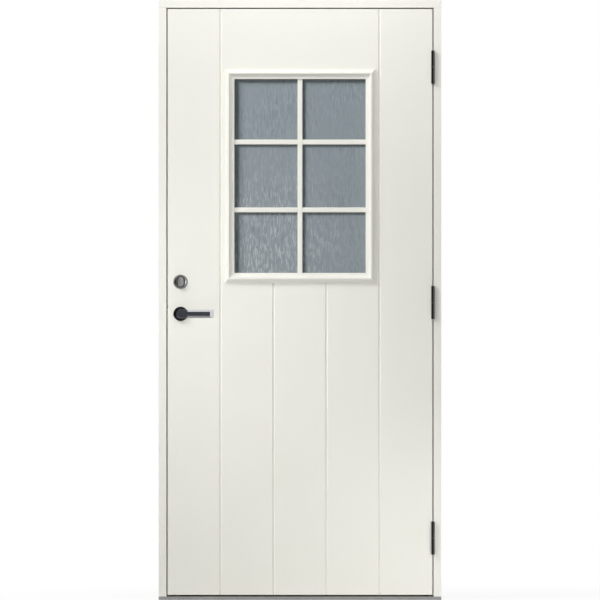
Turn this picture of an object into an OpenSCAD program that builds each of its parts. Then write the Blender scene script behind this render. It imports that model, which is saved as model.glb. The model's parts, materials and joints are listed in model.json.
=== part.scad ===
// Exterior door in its frame: an insulated leaf with vertical grooves and a window of six lights,
// hung on three lift-off hinges, with a lever handle, a spring latch and a dead bolt.
// Millimetres. X runs from the lock side to the hinge side, Y into the house and Z up.
// The origin is under the middle of the threshold, halfway through the depth of the frame.

/* [Frame] */
// Overall width of the frame
frame_w = 980; // [900:10:1060]
// Overall height of the frame
frame_h = 2080; // [2000:10:2160]
// Depth of the frame from its outer face to its inner face
frame_d = 105; // [98:1:125]
// Thickness of the jambs and head beside the leaf
jamb_t = 27; // [26:1:36]
// Width of the stop that the leaf closes against
stop_w = 15; // [13:1:20]
// Gap between the leaf and the jambs and head
leaf_gap = 4; // [3:0.5:5]
// Height of the threshold under the jambs
threshold_h = 12; // [11:1:18]
// Height of the threshold upstand above the feet of the jambs
upstand_h = 19; // [17:1:24]

/* [Leaf] */
// Thickness of the leaf
leaf_t = 62; // [58:1:68]
// Thickness of each skin
skin_t = 8; // [6:0.5:9]
// Number of boards that the grooves mark out
board_count = 5; // [4:1:7]
// Width of a groove at the face
groove_w = 9; // [6:0.5:12]
// Depth of a groove
groove_deep = 4.5; // [2:0.5:5]

/* [Window] */
// Width of the glass in sight
sight_w = 455; // [400:5:470]
// Height of the glass in sight
sight_h = 672; // [600:6:720]
// Distance from the top of the leaf down to the moulding
window_drop = 208; // [190:2:240]
// Width of the moulding round the glass
moulding_w = 35; // [33:1:42]
// Height of the moulding's ridge above the leaf
moulding_rise = 15; // [8:1:18]
// Panes side by side
pane_columns = 2; // [2:1:4]
// Panes one above another
pane_rows = 3; // [2:1:4]
// Width of a glazing bar
bar_w = 17; // [14:1:22]
// Height of a glazing bar above the glass
bar_rise = 9; // [6:0.5:12]
// Thickness of each sheet of glass
pane_t = 4; // [3:1:5]
// Depth of the glass below the faces of the leaf
glass_deep = 10.5; // [9:0.5:16]

/* [Hinges] */
// Length of a hinge barrel
hinge_len = 115; // [100:5:140]
// Diameter of a hinge barrel
barrel_d = 12; // [12:0.5:18]
// Distance from the top of the leaf to the middle of the top hinge
hinge_drop = 202; // [160:2:240]
// Distance from the foot of the leaf to the middle of the bottom hinge
hinge_lift = 197; // [160:1:240]

/* [Lock and handle] */
// Height of the lever spindle
handle_z = 992; // [950:2:1050]
// Distance from the edge of the leaf to the spindle
backset = 45; // [45:1:55]
// Distance from the spindle up to the axis of the key plug
lock_spacing = 105; // [100:1:115]
// Length of a lever from its spindle to its end
lever_len = 115; // [100:1:140]
// Height of a lever
lever_h = 28; // [25:0.5:30]
// Projection of a lever from the leaf
lever_out = 52; // [50:1:66]
// Diameter of the roses and of the cylinder ring
rose_d = 50; // [50:1:56]
// Travel of the latch
latch_throw = 11; // [9:0.5:12]
// Travel of the dead bolt
bolt_throw = 17; // [14:0.5:17.5]

/* [Frame fixing] */
// Bore of a fixing sleeve
sleeve_bore = 10; // [8:0.5:12]
// Distance between the two sleeves of a pair
sleeve_pitch = 360; // [300:10:400]
// Distance from each end of the frame to the middle of a pair
sleeve_inset = 520; // [490:10:540]

/* [Hidden] */
$fn = 96;

// Clearances, each used wherever that fit occurs
run_fit = 0.08;
slide_fit = 0.3;
seal_fit = 0.3;
hole_fit = 0.5;
push_fit = 0.03;
joint_gap = 0.1;

// Frame
half_w = frame_w / 2;
front_y = -frame_d / 2;
back_y = frame_d / 2;
rebate_x = half_w - jamb_t;
stop_x = rebate_x - stop_w;
head_z = frame_h - jamb_t;
stop_z = head_z - stop_w;
upstand_z = threshold_h + upstand_h;
seal_space = 4;
sill_t = 3;
sill_lip = 3;
sill_lip_h = 3.5;
sill_slope = 8;
sill_drop = 6;
rib_w = 2;
rib_deep = 0.8;

// Leaf
under_gap = 6;
leaf_x = rebate_x - leaf_gap;
leaf_z0 = threshold_h + under_gap;
leaf_z1 = head_z - leaf_gap;
leaf_y0 = front_y;
leaf_y1 = leaf_y0 + leaf_t;
stop_y = leaf_y1 + seal_space;
mid_y = (leaf_y0 + leaf_y1) / 2;
core_y0 = leaf_y0 + skin_t;
core_y1 = leaf_y1 - skin_t;
box_behind = 28;
stile_behind = 12;
lock_stile_w = backset + box_behind + stile_behind;
hinge_stile_w = 60;
top_rail_w = 60;
bottom_rail_w = 90;
stud_w = 40;
window_rail_w = 45;
stile_x0 = -leaf_x + lock_stile_w;
stile_x1 = leaf_x - hinge_stile_w;
rail_z0 = leaf_z0 + bottom_rail_w;
rail_z1 = leaf_z1 - top_rail_w;
board_w = 2 * leaf_x / board_count;
groove_lap = 6;

// Seal: a bulb against the stop and a root pressed into a kerf
seal_inset = 1;
seal_w = 8;
seal_bulb = seal_space - seal_fit;
seal_root_w = 3;
seal_root_deep = 5;

// Window
gasket_t = 1.5;
gasket_w = 10;
gasket_inset = 1;
leg_w = 15;
leg_deep = glass_deep - gasket_t;
lip_rise = 3;
lip_w = 6;
block_t = 3;
block_len = 60;
spacer_w = 12;
sight_x = sight_w / 2;
sight_hz = sight_h / 2;
window_z = leaf_z1 - window_drop - moulding_w - sight_hz;
mould_x = sight_x + moulding_w;
mould_hz = sight_hz + moulding_w;
cut_x = sight_x + leg_w + hole_fit;
cut_hz = sight_hz + leg_w + hole_fit;
glass_x = cut_x - block_t;
glass_hz = cut_hz - block_t;
glass_y0 = leaf_y0 + glass_deep;
glass_y1 = leaf_y1 - glass_deep;
spacer_t = (glass_y1 - glass_y0 - 3 * pane_t) / 2;
bar_y0 = glass_y0 - bar_rise;
lap_y = (bar_y0 + glass_y0) / 2;
bar_edge = 1.5;

// Hinges
barrel_r = barrel_d / 2;
barrel_room = 1;
hinge_x = leaf_x + leaf_gap / 2;
hinge_y = front_y - barrel_r - barrel_room;
hinge_pin_r = 4;
pin_seat = 8;
pin_room = 2;
hinge_plate_t = 3;
hinge_plate_w = 31;
hinge_plate_y = front_y + hinge_plate_w;
plate_inset = 4;
washer_t = 1.5;
barrel_cap = 1.5;
hinge_top_z = leaf_z1 - hinge_drop;
hinge_bottom_z = leaf_z0 + hinge_lift;
hinge_middle_z = (hinge_top_z + hinge_bottom_z) / 2;
hinge_zs = [hinge_bottom_z, hinge_middle_z, hinge_top_z];
plate_h2 = hinge_len / 2 - plate_inset;

// Screws
screw_r = 2;
screw_head_r = 4;
screw_len = 22;
slot_w = 0.9;
slot_len = 5;
slot_deep = 1;
// Places on a hinge plate, as shares of the barrel's length and of the plate's width
hinge_screw_spots = [[-0.36, 0.55], [-0.13, 0.78], [0.13, 0.55], [0.36, 0.78]];

// Lock: hub axis, cam axis, and the lock's box
hub_x = -leaf_x + backset;
cam_z = handle_z + lock_spacing;
oval_rise = 6;
oval_z = cam_z + oval_rise;
face_t = 3;
face_w = 22;
face_over = 14;
box_t = 16;
box_wall = 1.5;
box_below = 57;
box_above = 68;
box_x0 = -leaf_x + face_t;
box_x1 = hub_x + box_behind;
box_y0 = mid_y - box_t / 2;
box_y1 = mid_y + box_t / 2;
box_z0 = handle_z - box_below;
box_z1 = cam_z + box_above;
box_screw_zs = [box_z0 - face_over / 2, box_z1 + face_over / 2];
work_y0 = box_y0 + box_wall;
work_y1 = box_y1 - box_wall;
arm_t = 6;
spindle_w = 8;
hub_r = 9.5;
hub_journal_r = 8;
hub_arm = latch_throw + 5;
hub_arm_w = 6;
hub_lash = 0.8;
latch_t = 12;
latch_h = 16;
latch_step = 2;
latch_tab_w = 6;
latch_z0 = handle_z + hub_arm + latch_step;
latch_tab_z0 = handle_z + hub_r;
bolt_t = 12;
bolt_h = 22;
bolt_step = 0.5;
bolt_tail = 6;
cam_r = 7;
bolt_z0 = cam_z + cam_r + bolt_step;
cam_journal_r = 6;
cam_reach = bolt_throw / sqrt(2);
cam_tip_r = 3;
cam_neck = 4;
fork_w = 8.5;
tail_w = 5;

// Strike
strike_t = 3;
strike_w = 30;
strike_room = 1;
strike_deep = 2;
strike_screw_zs = [box_screw_zs[0], (latch_z0 + latch_h + bolt_z0) / 2, box_screw_zs[1]];

// Handle, cylinder and thumb turn
lever_t = 16;
lever_y0 = leaf_y0 - lever_out;
lever_y1 = lever_y0 + lever_t;
lever_face = 15;
lever_bevel_y = 4.5;
lever_back_bevel = 3;
lever_tip = 12;
lever_head = rose_d / 2;
neck_r = 10;
neck_room = 1;
neck_y1 = leaf_y0 - neck_room;
socket_end = 10;
socket_y0 = lever_y1 + socket_end;
rose_r = rose_d / 2;
rose_t = 9;
rose_side = 7.5;
rose_soft = 2;
ring_t = 10;
ring_side = 2;
ring_collar = 2;
oval_w = 21;
oval_h = 33;
recess_w = 27;
recess_h = 38;
recess_deep = 5;
cyl_sunk = 1.5;
cyl_y0 = leaf_y0 - ring_t + cyl_sunk;
plug_r = 6.5;
plug_proud = 0.4;
plug_wall = 3.5;
plug_y1 = box_y0 - plug_wall;
keyway_w = 2.4;
keyway_h = 9;
keyway_deep = 12;
turn_r = 5;
turn_y0 = box_y1 + hole_fit;
turn_collar = 4;
turn_grip_w = 11;
turn_grip_h = 36;
turn_grip_t = 20;
turn_face_y = leaf_y1 + rose_t;
rose_bolt_r = 2.5;
rose_bolt_dx = 19;
ring_bolt_r = 2;
ring_bolt_dx = 13;
ring_bolt_drop = 15;
ring_bolt_z = oval_z - ring_bolt_drop;
bolt_end = 2;

// Frame fixing
sleeve_wall = 3;
sleeve_r = sleeve_bore / 2 + sleeve_wall;
sleeve_y = (front_y + stop_y) / 2;
sleeve_zs = [
    for (c = [sleeve_inset, frame_h - sleeve_inset], s = [-1, 1]) c + s * sleeve_pitch / 2
];

// Piece to show, or all of them

// A block between two corners
module block(x0, x1, y0, y1, z0, z1) {
    translate([x0, y0, z0])
        cube([x1 - x0, y1 - y0, z1 - z0]);
}

// Round bars along each axis
module rod_x(y, z, r, x0, x1) {
    translate([x0, y, z])
        rotate([0, 90, 0])
            cylinder(r = r, h = x1 - x0);
}

module rod_y(x, z, r, y0, y1) {
    translate([x, y1, z])
        rotate([90, 0, 0])
            cylinder(r = r, h = y1 - y0);
}

module rod_z(x, y, r, z0, z1) {
    translate([x, y, z0])
        cylinder(r = r, h = z1 - z0);
}

// A bar along Y whose radius changes evenly from ra at ya to rb at yb
module taper_y(x, z, ya, yb, ra, rb) {
    translate([x, yb, z])
        rotate([90, 0, 0])
            cylinder(r1 = rb, r2 = ra, h = yb - ya);
}

// An upright oval bar along Y
module oval_y(x, z, w, h, y0, y1) {
    rod_y(x, z - (h - w) / 2, w / 2, y0, y1);
    rod_y(x, z + (h - w) / 2, w / 2, y0, y1);
    block(x - w / 2, x + w / 2, y0, y1, z - (h - w) / 2, z + (h - w) / 2);
}

// A section drawn in Y and Z, run along X
module run_x(x0, x1) {
    translate([x0, 0, 0])
        rotate([90, 0, 90])
            linear_extrude(x1 - x0)
                children();
}

// An outline drawn in X and Z, run along Y
module run_y(y0, y1) {
    translate([0, y1, 0])
        rotate([90, 0, 0])
            linear_extrude(y1 - y0)
                children();
}

// A section drawn in X and Y, run along Z
module run_z(z0, z1) {
    translate([0, 0, z0])
        linear_extrude(z1 - z0)
            children();
}

// A flat rectangular hoop between two outlines, standing in the plane of the leaf
module hoop(x_in, x_out, z_in0, z_in1, z_out0, z_out1, y0, y1) {
    difference() {
        block(-x_out, x_out, y0, y1, z_out0, z_out1);
        block(-x_in, x_in, y0 - 1, y1 + 1, z_in0, z_in1);
    }
}

// The same thing on the other face of the leaf
module on_inside() {
    translate([0, 2 * mid_y, 0])
        mirror([0, 1, 0])
            children();
}

// A countersunk screw from the face at x, driven towards +X or -X
module screw(x, y, z, way) {
    translate([x, y, z])
        rotate([0, 90 * way, 0]) {
            cylinder(r1 = screw_head_r, r2 = screw_r, h = screw_r);
            cylinder(r = screw_r, h = screw_len);
        }
}

module slotted_screw(x, y, z, way) {
    difference() {
        screw(x, y, z, way);
        translate([x, y, z]) {
            cube([2 * slot_deep, slot_len, slot_w], center = true);
            cube([2 * slot_deep, slot_w, slot_len], center = true);
        }
    }
}

// Frame

module seal_kerf() {
    hoop(
        stop_x + seal_inset + (seal_w - seal_root_w) / 2,
        stop_x + seal_inset + (seal_w + seal_root_w) / 2,
        upstand_z - seal_inset - (seal_w - seal_root_w) / 2,
        stop_z + seal_inset + (seal_w - seal_root_w) / 2,
        upstand_z - seal_inset - (seal_w + seal_root_w) / 2,
        stop_z + seal_inset + (seal_w + seal_root_w) / 2,
        stop_y, stop_y + seal_root_deep
    );
}

module frame_seal() {
    color("DimGray") {
        seal_kerf();
        hoop(
            stop_x + seal_inset, stop_x + seal_inset + seal_w,
            upstand_z - seal_inset, stop_z + seal_inset,
            upstand_z - seal_inset - seal_w, stop_z + seal_inset + seal_w,
            stop_y - seal_bulb, stop_y
        );
    }
}

module head_blank() {
    run_x(-half_w, half_w)
        polygon([
            [front_y, frame_h],
            [front_y, head_z],
            [stop_y, head_z],
            [stop_y, stop_z],
            [back_y, stop_z],
            [back_y, frame_h]
        ]);
}

module head_jamb() {
    color("Ivory")
        difference() {
            head_blank();
            seal_kerf();
        }
}

// Bars through one jamb at each sleeve, reaching past both of its faces by over
module sleeve_rods(side, r, over) {
    mid = side * (rebate_x + half_w) / 2;
    for (z = sleeve_zs)
        rod_x(sleeve_y, z, r, mid - jamb_t / 2 - over, mid + jamb_t / 2 + over);
}

// One jamb, scribed to the head; side is -1 on the lock side and 1 on the hinge side
module jamb_blank(side) {
    difference() {
        run_z(threshold_h, head_z)
            polygon([
                [side * half_w, front_y],
                [side * rebate_x, front_y],
                [side * rebate_x, stop_y],
                [side * stop_x, stop_y],
                [side * stop_x, back_y],
                [side * half_w, back_y]
            ]);
        block(-half_w - 1, half_w + 1, stop_y, back_y + 1, stop_z, frame_h);
        seal_kerf();
        sleeve_rods(side, sleeve_r, 1);
    }
}

// Where the latch and the dead bolt go into the lock jamb
module strike_pocket(z0, z1, t, deep) {
    block(-rebate_x - deep, -rebate_x + 1, mid_y - t / 2 - strike_room, mid_y + t / 2 + strike_room,
        z0 - strike_room, z1 + strike_room);
}

module strike_pockets() {
    strike_pocket(latch_z0, latch_z0 + latch_h, latch_t, latch_throw - leaf_gap + strike_deep);
    strike_pocket(bolt_z0, bolt_z0 + bolt_h, bolt_t, bolt_throw - leaf_gap + strike_deep);
}

module strike_blank() {
    block(-rebate_x - strike_t, -rebate_x, mid_y - strike_w / 2, mid_y + strike_w / 2,
        box_z0 - face_over, box_z1 + face_over);
}

module lock_jamb() {
    color("Ivory")
        difference() {
            jamb_blank(-1);
            strike_blank();
            strike_pockets();
            strike_screws();
        }
}

module strike_screws() {
    for (z = strike_screw_zs)
        screw(-rebate_x, mid_y, z, -1);
}

module strike_plate() {
    color("Silver")
        difference() {
            strike_blank();
            strike_pockets();
            strike_screws();
        }
}

module hinge_jamb() {
    color("Ivory")
        difference() {
            jamb_blank(1);
            for (z = hinge_zs) {
                frame_hinge_plate(z);
                frame_hinge_screws(z);
            }
        }
}

// Oak sill with an upstand between the stops
module threshold() {
    color("Peru")
        difference() {
            union() {
                run_x(-half_w, half_w)
                    polygon([
                        [front_y + sill_t, 0],
                        [back_y, 0],
                        [back_y, threshold_h],
                        [stop_y, threshold_h],
                        [stop_y, threshold_h - sill_t],
                        [front_y + sill_t, threshold_h - sill_t]
                    ]);
                run_x(-stop_x, stop_x)
                    polygon([
                        [stop_y, threshold_h - 1],
                        [back_y, threshold_h - 1],
                        [back_y, upstand_z - sill_drop],
                        [back_y - sill_slope, upstand_z],
                        [stop_y, upstand_z]
                    ]);
            }
            seal_kerf();
        }
}

// Folded aluminium over the outer part of the sill, ribbed against slipping
module threshold_plate() {
    rib = (stop_y - front_y) / 7;
    color("Silver")
        difference() {
            run_x(-half_w, half_w)
                polygon([
                    [front_y - sill_lip, 0],
                    [front_y + sill_t, 0],
                    [front_y + sill_t, threshold_h - sill_t],
                    [stop_y, threshold_h - sill_t],
                    [stop_y, threshold_h],
                    [front_y, threshold_h],
                    [front_y, sill_lip_h],
                    [front_y - sill_lip, sill_lip_h - 1]
                ]);
            for (i = [1:4])
                block(-rebate_x, rebate_x, front_y + i * rib, front_y + i * rib + rib_w,
                    threshold_h - rib_deep, threshold_h + 1);
        }
}

module fixing_sleeves() {
    color("Gainsboro")
        for (side = [-1, 1])
            difference() {
                sleeve_rods(side, sleeve_r, 0);
                sleeve_rods(side, sleeve_bore / 2, 1);
            }
}

// Hinges

module frame_hinge_plate(z) {
    block(rebate_x, rebate_x + hinge_plate_t, front_y, hinge_plate_y, z - plate_h2, z + plate_h2);
}

module frame_hinge_screws(z) {
    for (s = hinge_screw_spots)
        screw(rebate_x, front_y + s[1] * hinge_plate_w, z + s[0] * hinge_len, 1);
}

module leaf_hinge_plate(z) {
    block(leaf_x - hinge_plate_t, leaf_x, front_y, hinge_plate_y, z - plate_h2, z + plate_h2);
}

module leaf_hinge_screws(z) {
    for (s = hinge_screw_spots)
        screw(leaf_x, front_y + s[1] * hinge_plate_w, z + s[0] * hinge_len, -1);
}

// Lower half of a hinge: knuckle and plate on the jamb
module frame_hinge(z) {
    foot = z - hinge_len / 2;
    color("DimGray")
        difference() {
            union() {
                rod_z(hinge_x, hinge_y, barrel_r, foot + barrel_cap, z - washer_t / 2);
                translate([hinge_x, hinge_y, foot])
                    cylinder(r1 = barrel_r - barrel_cap, r2 = barrel_r, h = barrel_cap);
                block(rebate_x, rebate_x + hinge_plate_t, hinge_y, front_y, z - plate_h2,
                    z - washer_t / 2);
                frame_hinge_plate(z);
            }
            rod_z(hinge_x, hinge_y, hinge_pin_r + push_fit, foot + pin_seat, z);
            frame_hinge_screws(z);
        }
}

// Upper half of a hinge: knuckle and plate on the leaf
module leaf_hinge(z) {
    top = z + hinge_len / 2;
    color("DimGray")
        difference() {
            union() {
                rod_z(hinge_x, hinge_y, barrel_r, z + washer_t / 2 + run_fit, top - barrel_cap);
                translate([hinge_x, hinge_y, top - barrel_cap])
                    cylinder(r1 = barrel_r, r2 = barrel_r - barrel_cap, h = barrel_cap);
                block(leaf_x - hinge_plate_t, leaf_x, hinge_y, front_y, z + washer_t / 2 + run_fit,
                    z + plate_h2);
                leaf_hinge_plate(z);
            }
            rod_z(hinge_x, hinge_y, hinge_pin_r + run_fit, z, top - pin_seat);
            leaf_hinge_screws(z);
        }
}

module frame_hinge_top() {
    frame_hinge(hinge_top_z);
}

module frame_hinge_middle() {
    frame_hinge(hinge_middle_z);
}

module frame_hinge_bottom() {
    frame_hinge(hinge_bottom_z);
}

module leaf_hinge_top() {
    leaf_hinge(hinge_top_z);
}

module leaf_hinge_middle() {
    leaf_hinge(hinge_middle_z);
}

module leaf_hinge_bottom() {
    leaf_hinge(hinge_bottom_z);
}

module hinge_pins() {
    color("Silver")
        for (z = hinge_zs)
            rod_z(hinge_x, hinge_y, hinge_pin_r, z - hinge_len / 2 + pin_seat,
                z + hinge_len / 2 - pin_seat - pin_room);
}

module hinge_washers() {
    color("WhiteSmoke")
        for (z = hinge_zs)
            difference() {
                rod_z(hinge_x, hinge_y, barrel_r - 0.5, z - washer_t / 2, z + washer_t / 2);
                rod_z(hinge_x, hinge_y, hinge_pin_r + push_fit, z - washer_t, z + washer_t);
            }
}

module frame_screws() {
    color("Silver") {
        for (z = hinge_zs, s = hinge_screw_spots)
            slotted_screw(rebate_x, front_y + s[1] * hinge_plate_w, z + s[0] * hinge_len, 1);
        for (z = strike_screw_zs)
            slotted_screw(-rebate_x, mid_y, z, -1);
    }
}

module leaf_screws() {
    color("Silver") {
        for (z = hinge_zs, s = hinge_screw_spots)
            slotted_screw(leaf_x, front_y + s[1] * hinge_plate_w, z + s[0] * hinge_len, -1);
        for (z = box_screw_zs)
            slotted_screw(-leaf_x, mid_y, z, 1);
    }
}

// Leaf

// Grooves beside the window run the whole height, those in line with it stop under its moulding
module grooves() {
    for (i = [1:board_count - 1]) {
        x = -leaf_x + i * board_w;
        top = abs(x) < mould_x + groove_w ? window_z - mould_hz + groove_lap : leaf_z1 + 1;
        run_z(leaf_z0 - 1, top)
            polygon([
                [x - groove_w / 2, leaf_y0],
                [x, leaf_y0 + groove_deep],
                [x + groove_w / 2, leaf_y0],
                [x + groove_w / 2, leaf_y0 - 1],
                [x - groove_w / 2, leaf_y0 - 1]
            ]);
    }
}

module window_cut(y0, y1) {
    block(-cut_x, cut_x, y0, y1, window_z - cut_hz, window_z + cut_hz);
}

// Holes for the spindle, the long bolts, the cylinder and the thumb turn
module hardware_holes() {
    rod_y(hub_x, handle_z, hub_r + hole_fit, leaf_y0 - 1, leaf_y1 + 1);
    for (s = [-1, 1]) {
        rod_y(hub_x + s * rose_bolt_dx, handle_z, rose_bolt_r + hole_fit, leaf_y0 - 1, leaf_y1 + 1);
        rod_y(hub_x + s * ring_bolt_dx, ring_bolt_z, ring_bolt_r + hole_fit, leaf_y0 - 1, leaf_y1 + 1);
    }
    oval_y(hub_x, oval_z, oval_w + 2 * hole_fit, oval_h + 2 * hole_fit, leaf_y0 - 1, mid_y);
    rod_y(hub_x, cam_z, turn_r + 2 * hole_fit, mid_y, leaf_y1 + 1);
}

module skin_blank() {
    difference() {
        block(-leaf_x, leaf_x, leaf_y0, core_y0, leaf_z0, leaf_z1);
        grooves();
        window_cut(leaf_y0 - 1, core_y0 + 1);
    }
}

module outer_skin() {
    color("Ivory")
        difference() {
            skin_blank();
            hardware_holes();
            for (z = hinge_zs)
                leaf_hinge_plate(z);
        }
}

module inner_skin() {
    color("Ivory")
        difference() {
            on_inside()
                skin_blank();
            hardware_holes();
        }
}

module lock_stile() {
    color("BurlyWood")
        difference() {
            block(-leaf_x, stile_x0, core_y0, core_y1, leaf_z0, leaf_z1);
            faceplate_blank();
            block(box_x0 - 1, box_x1 + hole_fit, box_y0 - hole_fit, box_y1 + hole_fit,
                box_z0 - hole_fit, box_z1 + hole_fit);
            hardware_holes();
            for (z = box_screw_zs)
                screw(-leaf_x, mid_y, z, 1);
        }
}

module hinge_stile() {
    color("BurlyWood")
        difference() {
            block(stile_x1, leaf_x, core_y0, core_y1, leaf_z0, leaf_z1);
            for (z = hinge_zs) {
                leaf_hinge_plate(z);
                leaf_hinge_screws(z);
            }
        }
}

module top_rail() {
    color("BurlyWood")
        block(stile_x0, stile_x1, core_y0, core_y1, rail_z1, leaf_z1);
}

module bottom_rail() {
    color("BurlyWood")
        block(stile_x0, stile_x1, core_y0, core_y1, leaf_z0, rail_z0);
}

module window_studs() {
    color("BurlyWood")
        for (s = [-1, 1])
            block(s * (cut_x + stud_w / 2) - stud_w / 2, s * (cut_x + stud_w / 2) + stud_w / 2,
                core_y0, core_y1, rail_z0, rail_z1);
}

module window_rails() {
    color("BurlyWood") {
        block(-cut_x, cut_x, core_y0, core_y1, window_z + cut_hz, window_z + cut_hz + window_rail_w);
        block(-cut_x, cut_x, core_y0, core_y1, window_z - cut_hz - window_rail_w, window_z - cut_hz);
    }
}

module insulation_boards() {
    color("LightYellow") {
        block(stile_x0, -cut_x - stud_w, core_y0, core_y1, rail_z0, rail_z1);
        block(cut_x + stud_w, stile_x1, core_y0, core_y1, rail_z0, rail_z1);
        block(-cut_x, cut_x, core_y0, core_y1, rail_z0, window_z - cut_hz - window_rail_w);
        block(-cut_x, cut_x, core_y0, core_y1, window_z + cut_hz + window_rail_w, rail_z1);
    }
}

// Window

module pane(y0) {
    color("LightSteelBlue")
        block(-glass_x, glass_x, y0, y0 + pane_t, window_z - glass_hz, window_z + glass_hz);
}

module outer_pane() {
    pane(glass_y0);
}

module middle_pane() {
    pane(glass_y0 + pane_t + spacer_t);
}

module inner_pane() {
    pane(glass_y1 - pane_t);
}

// A hoop that follows the edge of the glass
module glass_hoop(inset, w, y0, y1) {
    hoop(glass_x - inset - w, glass_x - inset,
        window_z - glass_hz + inset + w, window_z + glass_hz - inset - w,
        window_z - glass_hz + inset, window_z + glass_hz - inset, y0, y1);
}

module glass_spacers() {
    color("Silver")
        for (y = [glass_y0 + pane_t, glass_y0 + 2 * pane_t + spacer_t])
            glass_hoop(0, spacer_w, y, y + spacer_t);
}

module glazing_gaskets() {
    color("DimGray") {
        glass_hoop(gasket_inset, gasket_w, glass_y0 - gasket_t, glass_y0);
        glass_hoop(gasket_inset, gasket_w, glass_y1, glass_y1 + gasket_t);
    }
}

// Blocks that carry and centre the glass in its opening
module glazing_blocks() {
    depth = glass_y1 - glass_y0;
    middle = (glass_y0 + glass_y1) / 2;
    color("DimGray") {
        for (sx = [-1, 1], sz = [-1, 1])
            translate([sx * 0.6 * sight_x, middle, window_z + sz * (glass_hz + block_t / 2)])
                cube([block_len, depth, block_t], center = true);
        for (sx = [-1, 1])
            translate([sx * (glass_x + block_t / 2), middle, window_z])
                cube([block_t, depth, block_len], center = true);
    }
}

// Section of the moulding: an outer curve up to the ridge, a hollow down to the lip at the glass,
// and a leg that reaches into the opening; drawn as distance from the leaf and distance inward
function moulding_section(v) = [
    [leaf_y0, v],
    [leaf_y0 - 0.25 * moulding_rise, v],
    [leaf_y0 - 0.42 * moulding_rise, v - 0.11 * moulding_w],
    [leaf_y0 - 0.70 * moulding_rise, v - 0.22 * moulding_w],
    [leaf_y0 - 0.91 * moulding_rise, v - 0.31 * moulding_w],
    [leaf_y0 - moulding_rise, v - 0.38 * moulding_w],
    [leaf_y0 - moulding_rise, v - 0.46 * moulding_w],
    [leaf_y0 - 0.82 * moulding_rise, v - 0.53 * moulding_w],
    [leaf_y0 - 0.56 * moulding_rise, v - 0.61 * moulding_w],
    [leaf_y0 - 0.38 * moulding_rise, v - 0.71 * moulding_w],
    [leaf_y0 - lip_rise - 0.4, v - moulding_w + lip_w],
    [leaf_y0 - lip_rise, v - moulding_w],
    [leaf_y0 + leg_deep, v - moulding_w],
    [leaf_y0 + leg_deep, v - moulding_w + leg_w],
    [leaf_y0, v - moulding_w + leg_w]
];

// One length, mitred at both ends, lying along X above the middle of the window
module moulding_length(half_run, reach) {
    intersection() {
        run_x(-half_run, half_run)
            polygon(moulding_section(reach));
        run_y(leaf_y0 - moulding_rise - 1, leaf_y0 + leg_deep + 1)
            polygon([
                [-half_run + joint_gap / 2, reach],
                [half_run - joint_gap / 2, reach],
                [half_run - joint_gap / 2 - moulding_w, reach - moulding_w],
                [-half_run + joint_gap / 2 + moulding_w, reach - moulding_w]
            ]);
    }
}

module moulding_level(turn) {
    translate([0, 0, window_z])
        rotate([0, turn, 0])
            moulding_length(mould_x, mould_hz);
}

module moulding_upright(turn) {
    translate([0, 0, window_z])
        rotate([0, turn, 0])
            moulding_length(mould_hz, mould_x);
}

module outer_moulding_top() {
    color("Ivory")
        moulding_level(0);
}

module outer_moulding_bottom() {
    color("Ivory")
        moulding_level(180);
}

module outer_moulding_lock_side() {
    color("Ivory")
        moulding_upright(-90);
}

module outer_moulding_hinge_side() {
    color("Ivory")
        moulding_upright(90);
}

module inner_mouldings() {
    color("Ivory")
        on_inside() {
            moulding_level(0);
            moulding_level(180);
            moulding_upright(-90);
            moulding_upright(90);
        }
}

// Places of the glazing bars, set out as if a bar also ran along each edge of the glass
pitch_x = (sight_w + 2 * bar_w) / pane_columns;
pitch_z = (sight_h + 2 * bar_w) / pane_rows;
bar_xs = [for (i = [1:pane_columns - 1]) -sight_x - bar_w + i * pitch_x];
bar_zs = [for (i = [1:pane_rows - 1]) window_z - sight_hz - bar_w + i * pitch_z];

// Section of a bar across its width c, with softened front edges
function bar_half(c) = [
    [c - bar_w / 2, glass_y0],
    [c - bar_w / 2, bar_y0 + bar_edge],
    [c - bar_w / 2 + bar_edge, bar_y0],
    [c + bar_w / 2 - bar_edge, bar_y0],
    [c + bar_w / 2, bar_y0 + bar_edge],
    [c + bar_w / 2, glass_y0]
];

// Uprights are halved at the back, and level bars at the front, so that they cross flush
module upright_bars() {
    for (x = bar_xs)
        difference() {
            run_z(window_z - sight_hz, window_z + sight_hz)
                polygon(bar_half(x));
            for (z = bar_zs)
                block(x - bar_w, x + bar_w, lap_y, glass_y0 + 1, z - bar_w / 2 - joint_gap / 2,
                    z + bar_w / 2 + joint_gap / 2);
        }
}

module level_bars() {
    for (z = bar_zs)
        difference() {
            run_x(-sight_x, sight_x)
                polygon([for (p = bar_half(z)) [p[1], p[0]]]);
            for (x = bar_xs)
                block(x - bar_w / 2 - joint_gap / 2, x + bar_w / 2 + joint_gap / 2, bar_y0 - 1, lap_y,
                    z - bar_w, z + bar_w);
        }
}

module outer_upright_bar() {
    color("Ivory")
        upright_bars();
}

module outer_level_bars() {
    color("Ivory")
        level_bars();
}

module inner_upright_bar() {
    color("Ivory")
        on_inside()
            upright_bars();
}

module inner_level_bars() {
    color("Ivory")
        on_inside()
            level_bars();
}

// Lock

module faceplate_blank() {
    block(-leaf_x, box_x0, mid_y - face_w / 2, mid_y + face_w / 2, box_z0 - face_over, box_z1 + face_over);
}

// Ways through the front of the lock for the latch and the dead bolt
module front_way(z0, z1, t) {
    block(-leaf_x - 1, box_x0 + box_wall + 1, mid_y - t / 2 - slide_fit, mid_y + t / 2 + slide_fit,
        z0 - slide_fit, z1 + slide_fit);
}

module front_ways() {
    front_way(latch_z0, latch_z0 + latch_h, latch_t);
    front_way(bolt_z0, bolt_z0 + bolt_h, bolt_t);
}

module lock_faceplate() {
    color("Silver")
        difference() {
            faceplate_blank();
            front_ways();
            for (z = box_screw_zs)
                screw(-leaf_x, mid_y, z, 1);
        }
}

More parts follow.
